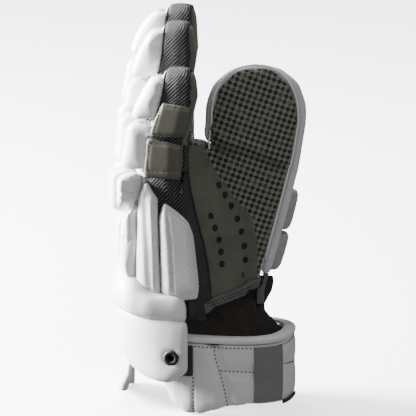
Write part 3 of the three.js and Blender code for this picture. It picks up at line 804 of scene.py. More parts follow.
def effect(
    name: str, inputs: dict[str, tuple[str, object]], outputs: dict[str, str]
) -> tuple[Graph, Sequence, Sequence]:
    """Starts a group of shader nodes.

    Args:
        name: The group's name.
        inputs: Each input's kind and default value.
        outputs: Each output's kind.

    Returns:
        The group's graph, its inputs' sockets and its outputs' sockets.
    """
    tree = bpy.data.node_groups.new(name, "ShaderNodeTree")
    for key, (kind, value) in inputs.items():
        socket = tree.interface.new_socket(name=key, in_out="INPUT", socket_type=kind)
        if value is not None:
            socket.default_value = value
    for key, kind in outputs.items():
        tree.interface.new_socket(name=key, in_out="OUTPUT", socket_type=kind)
    graph = Graph(tree)
    return graph, graph.node("NodeGroupInput").outputs, graph.node("NodeGroupOutput").inputs


NUMBER = "NodeSocketFloat"
VECTOR = "NodeSocketVector"


def leather_grain() -> NodeTree:
    """Small pebbles with creases between them, as on leather. Its vector is in millimetres."""
    graph, given, made = effect(
        "leather grain",
        {"Vector": (VECTOR, None), "Size": (NUMBER, 1.2), "Creases": (NUMBER, 0.3)},
        {"Height": NUMBER},
    )
    scale = graph.over(1.0, given["Size"])
    pebbles = graph.less(1.0, graph.cells(given["Vector"], scale))
    folds = graph.noise(given["Vector"], 0.12, 4.0, 0.6)
    folded = graph.math("ABSOLUTE", graph.less(folds, 0.5))
    folded = graph.times(folded, given["Creases"])
    graph.put(made["Height"], graph.plus(pebbles, graph.times(folded, 6.0)))
    return graph.tree


def uneven_tone() -> NodeTree:
    """Cloudy darker patches from handling, from 0 to 1. Its vector is in millimetres."""
    graph, given, made = effect(
        "uneven tone", {"Vector": (VECTOR, None), "Size": (NUMBER, 30.0)}, {"Patch": NUMBER}
    )
    wide = graph.noise(given["Vector"], graph.over(1.0, given["Size"]), 4.0, 0.6)
    fine = graph.noise(given["Vector"], 0.9, 3.0, 0.6)
    both = graph.plus(graph.times(wide, 0.75), graph.times(fine, 0.25))
    graph.put(made["Patch"], graph.rise(both, 0.38, 0.66))
    return graph.tree


def rib_weave() -> NodeTree:
    """Slanting ribs broken into short floats, as in a twill. Its vector is in millimetres."""
    graph, given, made = effect(
        "rib weave",
        {"Vector": (VECTOR, None), "Pitch": (NUMBER, 1.8), "Float": (NUMBER, 2.6), "Break": (NUMBER, 0.35)},
        {"Height": NUMBER, "Groove": NUMBER},
    )
    x, y, _z = graph.axes(given["Vector"])
    rib = graph.wave("COSINE", y, given["Pitch"])
    row = graph.math("FLOOR", graph.plus(graph.over(y, given["Pitch"]), 0.5))
    moved = graph.plus(graph.over(x, given["Float"]), graph.times(row, 0.37))
    floats = graph.math("COSINE", graph.times(moved, math.tau))
    rib = graph.plus(graph.times(rib, 0.5), 0.5)
    floats = graph.times(graph.times(graph.plus(floats, 1.0), 0.5), given["Break"])
    height = graph.less(rib, graph.times(floats, rib))
    graph.put(made["Height"], height)
    graph.put(made["Groove"], graph.rise(height, 0.45, 0.0))
    return graph.tree


def knit_mesh() -> NodeTree:
    """Strands of an open knit with rows of small holes. Its vector is in millimetres."""
    graph, given, made = effect(
        "knit mesh",
        {"Vector": (VECTOR, None), "Pitch": (NUMBER, 2.1), "Stitch": (NUMBER, 1.5)},
        {"Height": NUMBER, "Hole": NUMBER, "Strand": NUMBER},
    )
    x, y, _z = graph.axes(given["Vector"])
    across = graph.over(y, given["Pitch"])
    strand = graph.math("COSINE", graph.times(across, math.tau))
    strand = graph.plus(graph.times(strand, 0.5), 0.5)
    row = graph.math("FLOOR", graph.plus(across, 0.5))
    loops = graph.plus(graph.over(x, given["Stitch"]), graph.times(row, 0.5))
    loop = graph.math("COSINE", graph.times(loops, math.tau))
    loop = graph.plus(graph.times(loop, 0.5), 0.5)
    gap = graph.times(graph.less(1.0, strand), graph.less(1.0, loop))
    height = graph.plus(graph.times(strand, 0.75), graph.times(loop, 0.25))
    graph.put(made["Height"], graph.less(height, gap))
    graph.put(made["Hole"], graph.rise(gap, 0.22, 0.5))
    graph.put(made["Strand"], graph.rise(height, 0.5, 0.95))
    return graph.tree


def plain_weave() -> NodeTree:
    """Threads over and under each other. Its vector is in millimetres."""
    graph, given, made = effect(
        "plain weave", {"Vector": (VECTOR, None), "Pitch": (NUMBER, 0.7)}, {"Height": NUMBER, "Gap": NUMBER}
    )
    x, y, _z = graph.axes(given["Vector"])
    a = graph.wave("SINE", x, given["Pitch"], math.pi)
    b = graph.wave("SINE", y, given["Pitch"], math.pi)
    over = graph.times(a, b)
    crown = graph.times(graph.math("ABSOLUTE", over), 0.8)
    graph.put(made["Height"], graph.plus(crown, 0.2))
    graph.put(made["Gap"], graph.rise(graph.math("ABSOLUTE", over), 0.25, 0.0))
    return graph.tree


def chequer_print() -> NodeTree:
    """Rounded squares in a chequer. Its vector is in millimetres."""
    graph, given, made = effect(
        "chequer print",
        {"Vector": (VECTOR, None), "Pitch": (NUMBER, 3.1)},
        {"Square": NUMBER, "Height": NUMBER},
    )
    x, y, _z = graph.axes(given["Vector"])
    a = graph.wave("SINE", x, given["Pitch"], math.pi)
    b = graph.wave("SINE", y, given["Pitch"], math.pi)
    product = graph.times(a, b)
    graph.put(made["Square"], graph.rise(product, -0.05, 0.07))
    graph.put(made["Height"], graph.rise(product, 0.02, 0.4))
    return graph.tree


class Effects:
    """The groups of shader nodes that the finishes share, each built when it is first needed."""

    makers: dict[str, Callable[[], NodeTree]] = {
        "grain": leather_grain,
        "tone": uneven_tone,
        "rib": rib_weave,
        "knit": knit_mesh,
        "weave": plain_weave,
        "chequer": chequer_print,
    }
    made: dict[str, NodeTree] = {}

    @classmethod
    def use(cls, graph: Graph, key: str, vector: object, **values: float) -> Sequence[Socket]:
        """Places a group in a material.

        Args:
            graph: The material's graph.
            key: The group's short name.
            vector: Its vector in millimetres.
            values: Its other inputs.

        Returns:
            The group's outputs.
        """
        if key not in cls.made:
            cls.made[key] = cls.makers[key]()
        node = graph.node("ShaderNodeGroup", node_tree=cls.made[key])
        graph.put(node.inputs["Vector"], vector)
        for name, value in values.items():
            node.inputs[name].default_value = value
        return node.outputs


Surface = tuple[object, object, object]


@dataclass(frozen=True)
class Finish:
    """What one material of the glove looks like. Tones are linear, sizes in millimetres."""

    name: str
    base: Tone
    shade: Tone
    rough: tuple[float, float] = (0.5, 0.6)
    patch: float = 0.5
    patch_size: float = 30.0
    sheen: float = 0.0
    coat: float = 0.0
    metallic: float = 0.0
    follows: bool = False

    def where(self, graph: Graph) -> Socket:
        """Coordinates in millimetres: those written on the mesh, or the glove's own."""
        if self.follows:
            return graph.node("ShaderNodeAttribute", attribute_name=COORDS).outputs["Vector"]
        own = graph.node("ShaderNodeTexCoord").outputs["Object"]
        return graph.turned(own, 0, (1000, 1000, 1000))

    def detail(self, graph: Graph, where: Socket, surface: Surface) -> Surface:
        """The finish's own pattern over its plain surface.

        Args:
            graph: The material's graph.
            where: Coordinates in millimetres.
            surface: Colour, roughness and height in millimetres so far.

        Returns:
            The same three with the pattern added.
        """
        return surface

    def material(self) -> bpy.types.Material:
        """Makes the material, or finds it if it has been made."""
        if self.name in bpy.data.materials:
            return bpy.data.materials[self.name]
        material = bpy.data.materials.new(self.name)
        material.use_nodes = True
        graph = Graph(material.node_tree)
        shader = material.node_tree.nodes["Principled BSDF"]
        where = self.where(graph)
        own = graph.turned(graph.node("ShaderNodeTexCoord").outputs["Object"], 0, (1000, 1000, 1000))
        (patch,) = Effects.use(graph, "tone", own, Size=self.patch_size)
        share = graph.times(patch, self.patch)
        color = graph.blend(share, self.base, self.shade)
        rough = graph.rise(patch, 0.0, 1.0, self.rough[0], self.rough[1])
        color, rough, height = self.detail(graph, where, (color, rough, 0.0))
        # Painted shade: the colour darkens where pressed seams, folds and creases are marked.
        seam = graph.node("ShaderNodeAttribute", attribute_name=SEAM_SHADE).outputs["Fac"]
        dark = graph.blend(graph.times(seam, 0.55), color, tuple(c * 0.35 for c in self.shade))
        graph.put(shader.inputs["Base Color"], dark)
        graph.put(shader.inputs["Roughness"], rough)
        shader.inputs["Metallic"].default_value = self.metallic
        shader.inputs["Sheen Weight"].default_value = self.sheen
        shader.inputs["Coat Weight"].default_value = self.coat
        shader.inputs["Coat Roughness"].default_value = 0.35
        bump = graph.node("ShaderNodeBump")
        bump.inputs["Distance"].default_value = MM
        graph.put(bump.inputs["Height"], height)
        graph.put(shader.inputs["Normal"], bump.outputs[0])
        return material


@dataclass(frozen=True)
class Leather(Finish):
    """Smooth leather with a fine grain."""

    grain: float = 0.9
    depth: float = 0.03
    creases: float = 0.25

    def detail(self, graph: Graph, where: Socket, surface: Surface) -> Surface:
        """Adds the grain."""
        color, rough, _height = surface
        (grain,) = Effects.use(graph, "grain", where, Size=self.grain, Creases=self.creases)
        return color, rough, graph.times(grain, self.depth)


@dataclass(frozen=True)
class Ribbed(Finish):
    """Leather pressed with slanting ribs."""

    pitch: float = 1.75
    slant: float = 42.0
    depth: float = 0.1

    def detail(self, graph: Graph, where: Socket, surface: Surface) -> Surface:
        """Adds the ribs, with their grooves a little darker as painted shade."""
        color, rough, _height = surface
        along = graph.turned(where, -self.slant)
        rib, groove = Effects.use(graph, "rib", along, Pitch=self.pitch)
        # Painted shade: the grooves between the ribs are darkened.
        color = graph.blend(graph.times(groove, 0.5), color, tuple(c * 0.62 for c in self.shade))
        return color, rough, graph.times(rib, self.depth)


@dataclass(frozen=True)
class PalmLeather(Finish):
    """Soft leather with a chequered rubber grip, punched with round holes."""

    print_tone: Tone = (0.005, 0.005, 0.005)
    grip_tone: Tone = (0.2, 0.198, 0.158)
    pitch: float = 3.35
    slant: float = 65.0

    def detail(self, graph: Graph, where: Socket, surface: Surface) -> Surface:
        """Adds grain, print, and holes with painted shade in them."""
        color, rough, _height = surface
        (grain,) = Effects.use(graph, "grain", where, Size=0.7, Creases=0.5)
        inside = graph.node("ShaderNodeAttribute", attribute_name=GRIP).outputs["Fac"]
        inside = graph.rise(inside, -0.25, 0.25)
        square, raised = Effects.use(graph, "chequer", graph.turned(where, self.slant), Pitch=self.pitch)
        wear = graph.rise(graph.noise(where, 0.13, 4.0, 0.7), 0.36, 0.46, 0.45, 1.0)
        square = graph.times(graph.times(square, inside), wear)
        color = graph.blend(graph.times(inside, 0.85), color, self.grip_tone)
        color = graph.blend(square, color, self.print_tone)
        rough = graph.less(rough, graph.times(square, 0.1))
        # Painted shade: near black inside the punched holes.
        hole = graph.node("ShaderNodeAttribute", attribute_name=HOLE).outputs["Fac"]
        hole = graph.rise(hole, -0.2, 0.3)
        color = graph.blend(hole, color, (0.006, 0.006, 0.006))
        height = graph.times(grain, 0.05)
        print_height = graph.times(graph.times(raised, inside), 0.22)
        return color, rough, graph.plus(height, print_height)


@dataclass(frozen=True)
class Knit(Finish):
    """Open knit mesh."""

    pitch: float = 2.4
    stitch: float = 1.6
    slant: float = 42.0
    hole: Tone = (0.004, 0.004, 0.004)

    def detail(self, graph: Graph, where: Socket, surface: Surface) -> Surface:
        """Adds the strands, with painted shade between them and in their holes."""
        color, rough, _height = surface
        along = graph.turned(where, -self.slant)
        height, hole, strand = Effects.use(graph, "knit", along, Pitch=self.pitch, Stitch=self.stitch)
        # Painted shade: near black between the strands and in the holes.
        color = graph.blend(strand, tuple(c * 0.12 for c in self.shade), color)
        color = graph.blend(hole, color, self.hole)
        return color, rough, graph.times(height, 0.35)


@dataclass(frozen=True)
class Cloth(Finish):
    """Woven cloth."""

    pitch: float = 0.8
    depth: float = 0.1

    def detail(self, graph: Graph, where: Socket, surface: Surface) -> Surface:
        """Adds the threads, with painted shade in the gaps between them."""
        color, rough, _height = surface
        height, gap = Effects.use(graph, "weave", where, Pitch=self.pitch)
        # Painted shade: the gaps between the threads are darkened.
        color = graph.blend(graph.times(gap, 0.45), color, tuple(c * 0.5 for c in self.shade))
        return color, rough, graph.times(height, self.depth)


@dataclass(frozen=True)
class Brushed(Finish):
    """Soft cloth with a short nap."""

    depth: float = 0.12

    def detail(self, graph: Graph, where: Socket, surface: Surface) -> Surface:
        """Adds the nap."""
        color, rough, _height = surface
        nap = graph.noise(where, 1.6, 4.0, 0.7)
        color = graph.blend(graph.rise(nap, 0.45, 0.7, 0.0, 0.35), color, tuple(c * 0.75 for c in self.shade))
        return color, rough, graph.times(nap, self.depth)


@dataclass(frozen=True)
class EyeletPaint(Finish):
    """Black paint on metal, scuffed."""

    def detail(self, graph: Graph, where: Socket, surface: Surface) -> Surface:
        """Adds fine scuffs."""
        color, rough, _height = surface
        scuff = graph.noise(where, 1.3, 5.0, 0.7)
        worn = graph.rise(scuff, 0.6, 0.75)
        color = graph.blend(graph.times(worn, 0.5), color, (0.1, 0.1, 0.1))
        rough = graph.plus(rough, graph.times(worn, 0.2))
        return color, rough, graph.times(scuff, 0.02)


FINISHES: dict[Slot, Finish] = {
    Slot.WHITE: Leather(
        "white leather", (0.82, 0.825, 0.825), (0.7, 0.705, 0.705), (0.36, 0.5), 0.4, coat=0.12
    ),
    Slot.TEXTURED: Ribbed(
        "ribbed white leather", (0.78, 0.785, 0.785), (0.66, 0.665, 0.67), (0.45, 0.6), follows=True
    ),
    Slot.PALM: PalmLeather(
        "palm leather", (0.115, 0.113, 0.088), (0.08, 0.079, 0.062), (0.72, 0.85), 0.7, 24, 0.15, follows=True
    ),
    Slot.MESH: Knit(
        "side mesh", (0.112, 0.114, 0.116), (0.07, 0.071, 0.073), (0.75, 0.85), follows=True
    ),
    Slot.BACKING: Cloth("backing cloth", (0.66, 0.66, 0.655), (0.5, 0.5, 0.5), (0.8, 0.9)),
    Slot.TAUPE: Leather(
        "taupe leather", (0.092, 0.09, 0.071), (0.066, 0.065, 0.051), (0.38, 0.55), 0.7, 16, grain=0.7
    ),
    Slot.GREY: Brushed(
        "grey padded cloth", (0.38, 0.383, 0.38), (0.29, 0.292, 0.29), (0.62, 0.78), 0.5, 20, 0.2
    ),
    Slot.BAND: Leather(
        "grey leather", (0.7, 0.705, 0.71), (0.6, 0.605, 0.61), (0.4, 0.55), 0.5, grain=0.8, depth=0.025
    ),
    Slot.PANEL: Cloth("grey cloth", (0.2, 0.203, 0.206), (0.15, 0.152, 0.155), (0.75, 0.85), 0.5, 15),
    Slot.BLACK: Cloth(
        "black webbing", (0.028, 0.028, 0.029), (0.014, 0.014, 0.015), (0.7, 0.85), 0.5, 12,
        pitch=1.1, depth=0.25,
    ),
    Slot.LINING: Brushed(
        "brown lining", (0.075, 0.062, 0.05), (0.04, 0.034, 0.028), (0.85, 0.95), 0.6, 18, 0.3
    ),
    Slot.METAL: EyeletPaint("black eyelet", (0.008, 0.008, 0.009), (0.012, 0.012, 0.012), (0.6, 0.75)),
}
HEM_CLOTH = Brushed(
    "dark grey binding", (0.13, 0.13, 0.128), (0.09, 0.09, 0.088), (0.7, 0.85), 0.5, 14
)
RIM_CLOTH = Leather(
    "pale grey leather", (0.6, 0.603, 0.6), (0.48, 0.482, 0.48), (0.45, 0.6), 0.5, 18,
    grain=0.8, depth=0.025,
)
# The brown lining darkened further as painted shade inside the wrist opening.
SHADED_LINING = Brushed(
    "dark brown lining", (0.05, 0.043, 0.035), (0.028, 0.024, 0.02), (0.85, 0.95), 0.6, 16, 0.2
)


# Pieces


def hand_over(
    obj: Object,
    slot: Slot,
    nodes: Sequence[str] = (),
    split: int = 0,
    look: Finish | None = None,
) -> Object:
    """Dresses a finished piece and ties it to the frame.

    Args:
        obj: The piece.
        slot: The record's slot that it takes its finish from.
        nodes: The CAD nodes that it stands for.
        split: Levels of subdivision that it keeps.
        look: Its finish, where it differs from the slot's usual one.

    Returns:
        The piece.
    """
    obj.data.materials.clear()
    obj.data.materials.append((look or FINISHES[slot]).material())
    if split:
        change = obj.modifiers.new("rounding", "SUBSURF")
        change.levels = change.render_levels = split
    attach(obj, BODY)
    if nodes:
        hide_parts(*nodes)
    log.info("%s: %d faces, %s", obj.name, len(obj.data.polygons), slot.value)
    return obj


def part_of(node: str, at: Vector, away: Vector) -> Build:
    """A CAD node's mesh cut by a plane and closed again.

    Args:
        node: The CAD node.
        at: A point of the plane.
        away: The side that is dropped.

    Returns:
        The bmesh of what is left.
    """
    bm = cad_copy([node])
    geom = list(bm.verts) + list(bm.edges) + list(bm.faces)
    cut = bmesh.ops.bisect_plane(bm, geom=geom, plane_co=at, plane_no=away, clear_outer=True)
    rim = [item for item in cut["geom_cut"] if isinstance(item, bmesh.types.BMEdge)]
    bmesh.ops.edgeloop_fill(bm, edges=rim)
    return bm


def soft_copy(name: str, node: str, voxel: float, rounds: int, keep: float = 0.0) -> Object:
    """A new even mesh in the shape of a CAD node, with its corners rounded.

    Args:
        name: The new piece's name.
        node: The CAD node.
        voxel: The size of its faces in millimetres.
        rounds: How much it is rounded.
        keep: Distance that it is moved out after the rounding, in millimetres.

    Returns:
        The new object.
    """
    obj = new_object(name, cad_copy([node]))
    remesh(obj, voxel)
    relax(obj, rounds, keep)
    return obj


def tuck(obj: Object, low: float, inward: float, drop: float) -> None:
    """Bends the lower end of a pad on the hand in behind the wrist roll.

    Args:
        obj: The pad.
        low: The height of its lower edge in millimetres.
        inward: How far that edge moves towards the hand.
        drop: How far it moves down.
    """
    for vert in obj.data.vertices:
        angle, z = HAND.round_place(vert.co)
        share = smoothstep(low + 16, low - 1, z)
        if share:
            out = (HAND.point(z, angle, 5) - HAND.point(z, angle, 0)).normalized()
            vert.co -= (out * inward + Vector((0, 0, drop))) * share * MM
    obj.data.update()


def mark_seams(
    obj: Object, lines: Sequence[Trail], width: float, depth: float, shade: float
) -> None:
    """Presses stitched seams, folds and creases into a piece and marks them for its finish, which darkens
    them as painted shade.

    Args:
        obj: The piece.
        lines: The seams.
        width: Half a seam's width in millimetres.
        depth: Its depth in millimetres.
        shade: How dark the painted shade in it gets.
    """
    points = [co for line in lines for co in line_of(line)]
    if not points:
        return
    tree = KDTree(len(points))
    for i, co in enumerate(points):
        tree.insert(co, i)
    tree.balance()
    mesh = obj.data
    # Painted shade: the mark that darkens each groove's colour.
    layer = mesh.attributes.get(SEAM_SHADE) or mesh.attributes.new(SEAM_SHADE, "FLOAT", "POINT")
    near = [1 - smoothstep(0, width, tree.find(vert.co)[2] / MM) for vert in mesh.vertices]
    moves = [vert.normal * (-depth * share * MM) for vert, share in zip(mesh.vertices, near)]
    for i, (vert, move) in enumerate(zip(mesh.vertices, moves)):
        vert.co += move
        layer.data[i].value = max(layer.data[i].value, near[i] ** 2 * shade)
    mesh.update()


def mark(obj: Object, name: str, value: Callable[[Vector], float]) -> None:
    """Writes a number at each point of a piece, for its finish to read."""
    layer = obj.data.attributes.new(name, "FLOAT", "POINT")
    layer.data.foreach_set("value", [value(vert.co) for vert in obj.data.vertices])


@dataclass
class Stitching:
    """Sewing thread: one piece of many small stitches that lie on other pieces."""

    name: str
    slot: Slot
    pitch: float = 3.2
    length: float = 2.2
    thick: float = 0.6
    rows: list[Trail] = field(default_factory=list)

    def sew(self, trail: Trail) -> None:
        """Adds a row of stitches along a trail."""
        if len(trail) > 1:
            self.rows.append(trail)

    def build(self) -> None:
        """Makes the thread's piece."""
        bm = bmesh.new()
        count = 0
        for row in self.rows:
            for co, along, normal in self.steps(row):
                side = normal.cross(along).normalized()
                half = (along * self.length / 2, side * self.thick / 2, normal * self.thick * 0.4)
                turn = (Matrix(half).transposed() * MM).to_4x4()
                turn[3][3] = 1
                place_at = Matrix.Translation(co + normal * self.thick * 0.1 * MM) @ turn
                bmesh.ops.create_uvsphere(bm, u_segments=6, v_segments=4, radius=1, matrix=place_at)
                count += 1
        log.info("%s: %d stitches", self.name, count)
        bmesh.ops.recalc_face_normals(bm, faces=bm.faces)
        hand_over(new_object(self.name, bm), self.slot)

    def steps(self, row: Trail) -> list[tuple[Vector, Vector, Vector]]:
        """Place, direction and normal of each stitch of a row."""
        steps = []
        left = self.pitch * MM / 2
        for (a, na), (b, nb) in zip(row, row[1:]):
            span = (b - a).length
            if span < 1e-6 or span > 12 * MM:
                continue
            while left <= span:
                t = left / span
                steps.append((a.lerp(b, t), (b - a).normalized(), na.lerp(nb, t).normalized()))
                left += self.pitch * MM
            left -= span
        return steps


DARK_THREAD = Stitching("stitches_dark", Slot.BLACK, 3.3, 2.2, 1.0)
TAUPE_THREAD = Stitching("stitches_taupe", Slot.TAUPE)
# Real stitches on the ribbed pads, made grey as painted shade of their needle holes.
PRICKS = Stitching("stitches_fine", Slot.GREY, 2.6, 1.1, 0.7)


def up_hand(share: float) -> float:
    """A share of the palm's length as a height in millimetres."""
    return 88 + share * 111


@dataclass
class Shell:
    """The leather, mesh and cloth that the hand goes into."""

    voxel: float = 1.0
    rounds: int = 14
    set_back: dict[str, float] = field(
        default_factory=lambda: {"little": -1.2, "ring": -1.5, "middle": -2.0, "index": -3.2}
    )
    hole: float = 2.9
    hole_depth: float = 1.1
    fold_depth: float = 2.6
    grip_edge: Dots = (
        (204, 141), (205, 151), (210, 163), (218.4, 175.5), (227, 186), (238, 202),
        (246, 210), (252, 222), (257, 237), (258, 258), (256.5, 277), (256, 290),
    )
    inner_holes: Dots = ((211, 216), (215, 228), (219, 240), (221, 252), (222, 264))
    outer_holes: Dots = (
        (219, 185), (225, 195), (231, 206), (237, 219), (241, 232), (244, 246), (245, 260), (243, 275),
    )
    fold: Dots = ((208, 131), (218, 146), (235, 151), (248, 154), (265, 160), (281, 168))
    border: tuple[tuple[float, float, float], ...] = (
        (187.0, 146, 3), (187.5, 165, 4), (188.2, 178, 8), (190.0, 190, 12), (193.0, 203.5, 17),
        (198.2, 226, 15), (203.6, 245, 14), (206.8, 263, 14), (209.5, 283, 14), (210.2, 301, 14),
    )

    def build(self) -> None:
        """Makes the shell's pieces."""
        self.palm()
        for name, node, slot in (
            ("thumb_back_cloth", "thumb_backing", Slot.BACKING),
            ("hand_back_cloth", "hand_backing", Slot.BACKING),
        ):
            hand_over(soft_copy(name, node, 1.2, 8), slot, [node])
        side = soft_copy("hand_side_mesh", "hand_gusset", self.voxel, 8)
        set_coords(side, HAND.surface_coords(150))
        hand_over(side, Slot.MESH, ["hand_gusset"])
        for name, limb in FINGERS.items():
            self.finger(name, limb)

    def palm(self) -> None:
        """Makes the palm leather with its grip, holes and folds."""
        palm = soft_copy("palm", "palm_leather", self.voxel, self.rounds)
        for vert in palm.data.vertices:
            vert.co = face_stretch(vert.co)
        displace(palm, self.wrinkle)
        tree = surface_of(palm)
        fold = VIEW.trail(tree, self.fold)
        # Painted shade: the fold's groove is darkened in full.
        mark_seams(palm, [fold], 6.0, self.fold_depth, 1.0)
        ridge = [(co + Vector((0, 0, 7.0 * MM)), normal) for co, normal in fold]
        mark_seams(palm, [ridge], 6.5, -1.8, 0.0)
        set_coords(palm, thumb_plane)
        edge = [thumb_plane(co) for co, _normal in VIEW.trail(tree, self.grip_edge)]
        mark(palm, GRIP, self.grip(edge))
        spots = self.inner_holes + self.outer_holes
        dots = [VIEW.trail(tree, [(x, y), (x + 0.2, y)])[0][0] for x, y in spots]

        def in_hole(co: Vector) -> float:
            """How far inside a punched hole a point lies, in millimetres."""
            return max(self.hole - (co - dot).length / MM for dot in dots)

        # The hole mark, which the finish paints near black as the shade inside the holes.
        mark(palm, HOLE, in_hole)
        displace(palm, lambda co, _normal: -self.hole_depth * smoothstep(0, 0.9, in_hole(co)))
        hand_over(palm, Slot.PALM, ["palm_leather"])
        self.seam_piping()

    def wrinkle(self, co: Vector, _normal: Vector) -> float:
        """Shallow folds of worn leather."""
        return 0.9 * (noise.noise(co * 32) + 0.5 * noise.noise(co * 75 + Vector((3, 1, 7))))

    def grip(self, edge: Sequence[Vector]) -> Callable[[Vector], float]:
        """How far inside the grip a point lies, from the grip's lower left edge."""
        line = sorted(edge, key=lambda point: -point.y)

        def inside(co: Vector) -> float:
            """The distance to the edge at one point, negative outside."""
            here = thumb_plane(co)
            near = min(range(len(line)), key=lambda i: (line[i] - here).length_squared)
            a, b = line[max(near - 1, 0)], line[min(near + 1, len(line) - 1)]
            way = b - a
            off = way.x * (here.y - line[near].y) - way.y * (here.x - line[near].x)
            far = (line[near] - here).length
            if here.y > line[0].y:
                return 5.0
            return math.copysign(far, off)

        return inside

    def seam_piping(self) -> None:
        """Makes the strip of mesh beside the palm, and the dark welt between them."""
        nodes = ["palm_leather", "hand_gusset", "finger_palm_little", "finger_gusset_little"]
        ground = new_object("ground", cad_copy(nodes))
        remesh(ground, 1.5)
        relax(ground, 8)
        tree = surface_of(ground)
        bpy.data.objects.remove(ground)

        def spot(u: float, v: float) -> Vector:
            """A point of the strip, from its shares down and across."""
            y = mix(self.border[0][1], self.border[-1][1], u)
            edge = next(i for i in range(1, len(self.border)) if y <= self.border[i][1] + 1e-6)
            (ax, ay, aw), (bx, by, bw) = self.border[edge - 1], self.border[edge]
            t = (y - ay) / (by - ay)
            x = mix(ax, bx, t) - mix(aw, bw, t) * (1 - v)
            hits = (VIEW.hit(tree, x, y - up) for up in range(14))
            co, normal = next(hit for hit in hits if hit)
            return co + normal * (1.5 - (2.4 if v < 0.5 else 1.1) * abs(2 * v - 1) ** 3) * MM

        strip = new_object("side_mesh_border", sheet(110, 14, spot, -1.2))
        set_coords(strip, HAND.surface_coords(150))
        hand_over(strip, Slot.MESH)
        line = between([(x, y) for x, y, _width in self.border], 1.5)
        hits = [VIEW.hit(tree, x + 0.2, y) for x, y in line]
        edge = eased([hit for hit in hits if hit])
        path = [co + normal * 0.5 * MM for co, normal in edge]
        piece = new_object("palm_seam_welt", tube(path, 0.9, 8, [normal for _co, normal in edge]))
        hand_over(piece, Slot.BLACK)

    def finger(self, name: str, limb: Limb) -> None:
        """Makes one finger's leather, mesh and backing."""
        palm = soft_copy(f"{name}_finger_leather", f"finger_palm_{name}", self.voxel, 10)
        palm.data.transform(Matrix.Translation((self.set_back[name] * MM, 0, 0)))
        set_coords(palm, limb.surface_coords(limb.foot + limb.length / 2))
        mark(palm, GRIP, lambda _co: -5.0)
        mark(palm, HOLE, lambda _co: -5.0)
        hand_over(palm, Slot.PALM, [f"finger_palm_{name}"])
        side = soft_copy(f"{name}_finger_mesh", f"finger_gusset_{name}", self.voxel, 8)
        set_coords(side, limb.surface_coords(limb.foot + limb.length / 2))
        hand_over(side, Slot.MESH, [f"finger_gusset_{name}"])
        back = soft_copy(f"{name}_finger_cloth", f"finger_backing_{name}", 1.2, 8)
        hand_over(back, Slot.BACKING, [f"finger_backing_{name}"])


@dataclass
class FoamPads:
    """The stuffed pads on the fingers, the back of the hand and the thumb's back."""

    voxel: float = 1.8
    rounds: int = 6
    pressure: float = 5.0
    cap: float = 1.8
    plain: tuple[str, ...] = (
        "finger_pad_little_1", "finger_pad_little_2",
        "finger_pad_ring_1", "finger_pad_ring_2", "finger_pad_ring_3",
        "finger_pad_middle_1", "finger_pad_middle_2", "finger_pad_middle_3",
        "finger_pad_index_1", "finger_pad_index_2", "finger_pad_index_3",
        "back_pad_outer", "back_pad_ring", "back_pad_middle", "back_pad_index", "back_pad_inner",
        "knuckle_little", "knuckle_ring", "knuckle_middle", "knuckle_index", "thumb_pad_3", "thumb_pad_4",
    )

    creases: tuple[Dots, ...] = (
        ((110, 170), (111, 178), (113, 187)), ((112, 196), (122, 192), (134, 193)), ((119, 200), (134, 197)),
        ((121, 163), (119, 170), (121, 177)), ((127, 177), (136, 181), (143, 180)),
    )
    lower_ends: dict[str, float] = field(
        default_factory=lambda: {
            "back_pad_outer": 109.0,
            "back_pad_ring": 114.6,
            "back_pad_middle": 114.6,
            "back_pad_index": 111.0,
            "back_pad_inner": 107.0,
        }
    )

    def build(self) -> None:
        """Makes every pad."""
        for node in self.plain:
            self.pad(node, Slot.WHITE)
        for node in ("thumb_pad_1", "thumb_pad_2"):
            self.pad(node, Slot.GREY)

    def pad(self, node: str, slot: Slot) -> None:
        """Makes one stuffed pad from its drawing."""
        knuckle = node.startswith("knuckle")
        if knuckle:
            obj = soft_copy(f"{node}_foam", node, self.voxel, 9, 0.4)
        else:
            obj = soft_copy(f"{node}_foam", node, self.voxel, self.rounds, -0.3)
            inflate(obj, self.pressure, self.cap)
        if node == "knuckle_little":
            tree = surface_of(obj)
            # Painted shade: the creases of the little finger's knuckle pad are darkened.
            mark_seams(obj, [VIEW.trail(tree, line) for line in self.creases], 2.4, 1.2, 0.45)
        if node in self.lower_ends:
            tuck(obj, self.lower_ends[node], 5.0, 6.0)
        hand_over(obj, slot, [node], split=1)


@dataclass(frozen=True)
class Patch:
    """A pad's place round a limb: two angles, and its lower and upper edge in millimetres."""

    limb: Limb
    start: float
    end: float
    low: tuple[float, ...]
    high: tuple[float, ...]
    stops: tuple[float, ...] = (0.0, 1.0)

    def edge(self, heights: tuple[float, ...], u: float) -> float:
        """The height of an edge at a share u of the way round."""
        stops = self.stops if len(heights) == len(self.stops) else (0.0, 1.0)
        for i in range(len(stops) - 1):
            if u <= stops[i + 1] or i == len(stops) - 2:
                return mix(heights[i], heights[i + 1], (u - stops[i]) / (stops[i + 1] - stops[i]))
        return heights[-1]

    def inset(self, tree: BVHTree, inside: float) -> list[Trail]:
        """Lines inside the patch's four sides.

        Args:
            tree: The pad's surface.
            inside: Distance of the lines from its sides in millimetres.

        Returns:
            Four trails: the lower side, the far side, the upper side and the near one.
        """
        middle = self.edge(self.low, 0.5) / 2 + self.edge(self.high, 0.5) / 2
        ring = [self.limb.point(middle, mix(self.start, self.end, i / 20)) for i in range(21)]
        width = sum((b - a).length for a, b in zip(ring, ring[1:])) / MM
        across = [mix(inside / width, 1 - inside / width, i / 40) for i in range(41)]
        low = [(u, self.edge(self.low, u) + inside) for u in across]
        high = [(u, self.edge(self.high, u) - inside) for u in across]
        sides = [low, between([low[-1], high[-1]], 0.5), high, between([low[0], high[0]], 0.5)]
        places = [[(mix(self.start, self.end, u), z) for u, z in side] for side in sides]
        return [trail_round(tree, self.limb, side) for side in places]


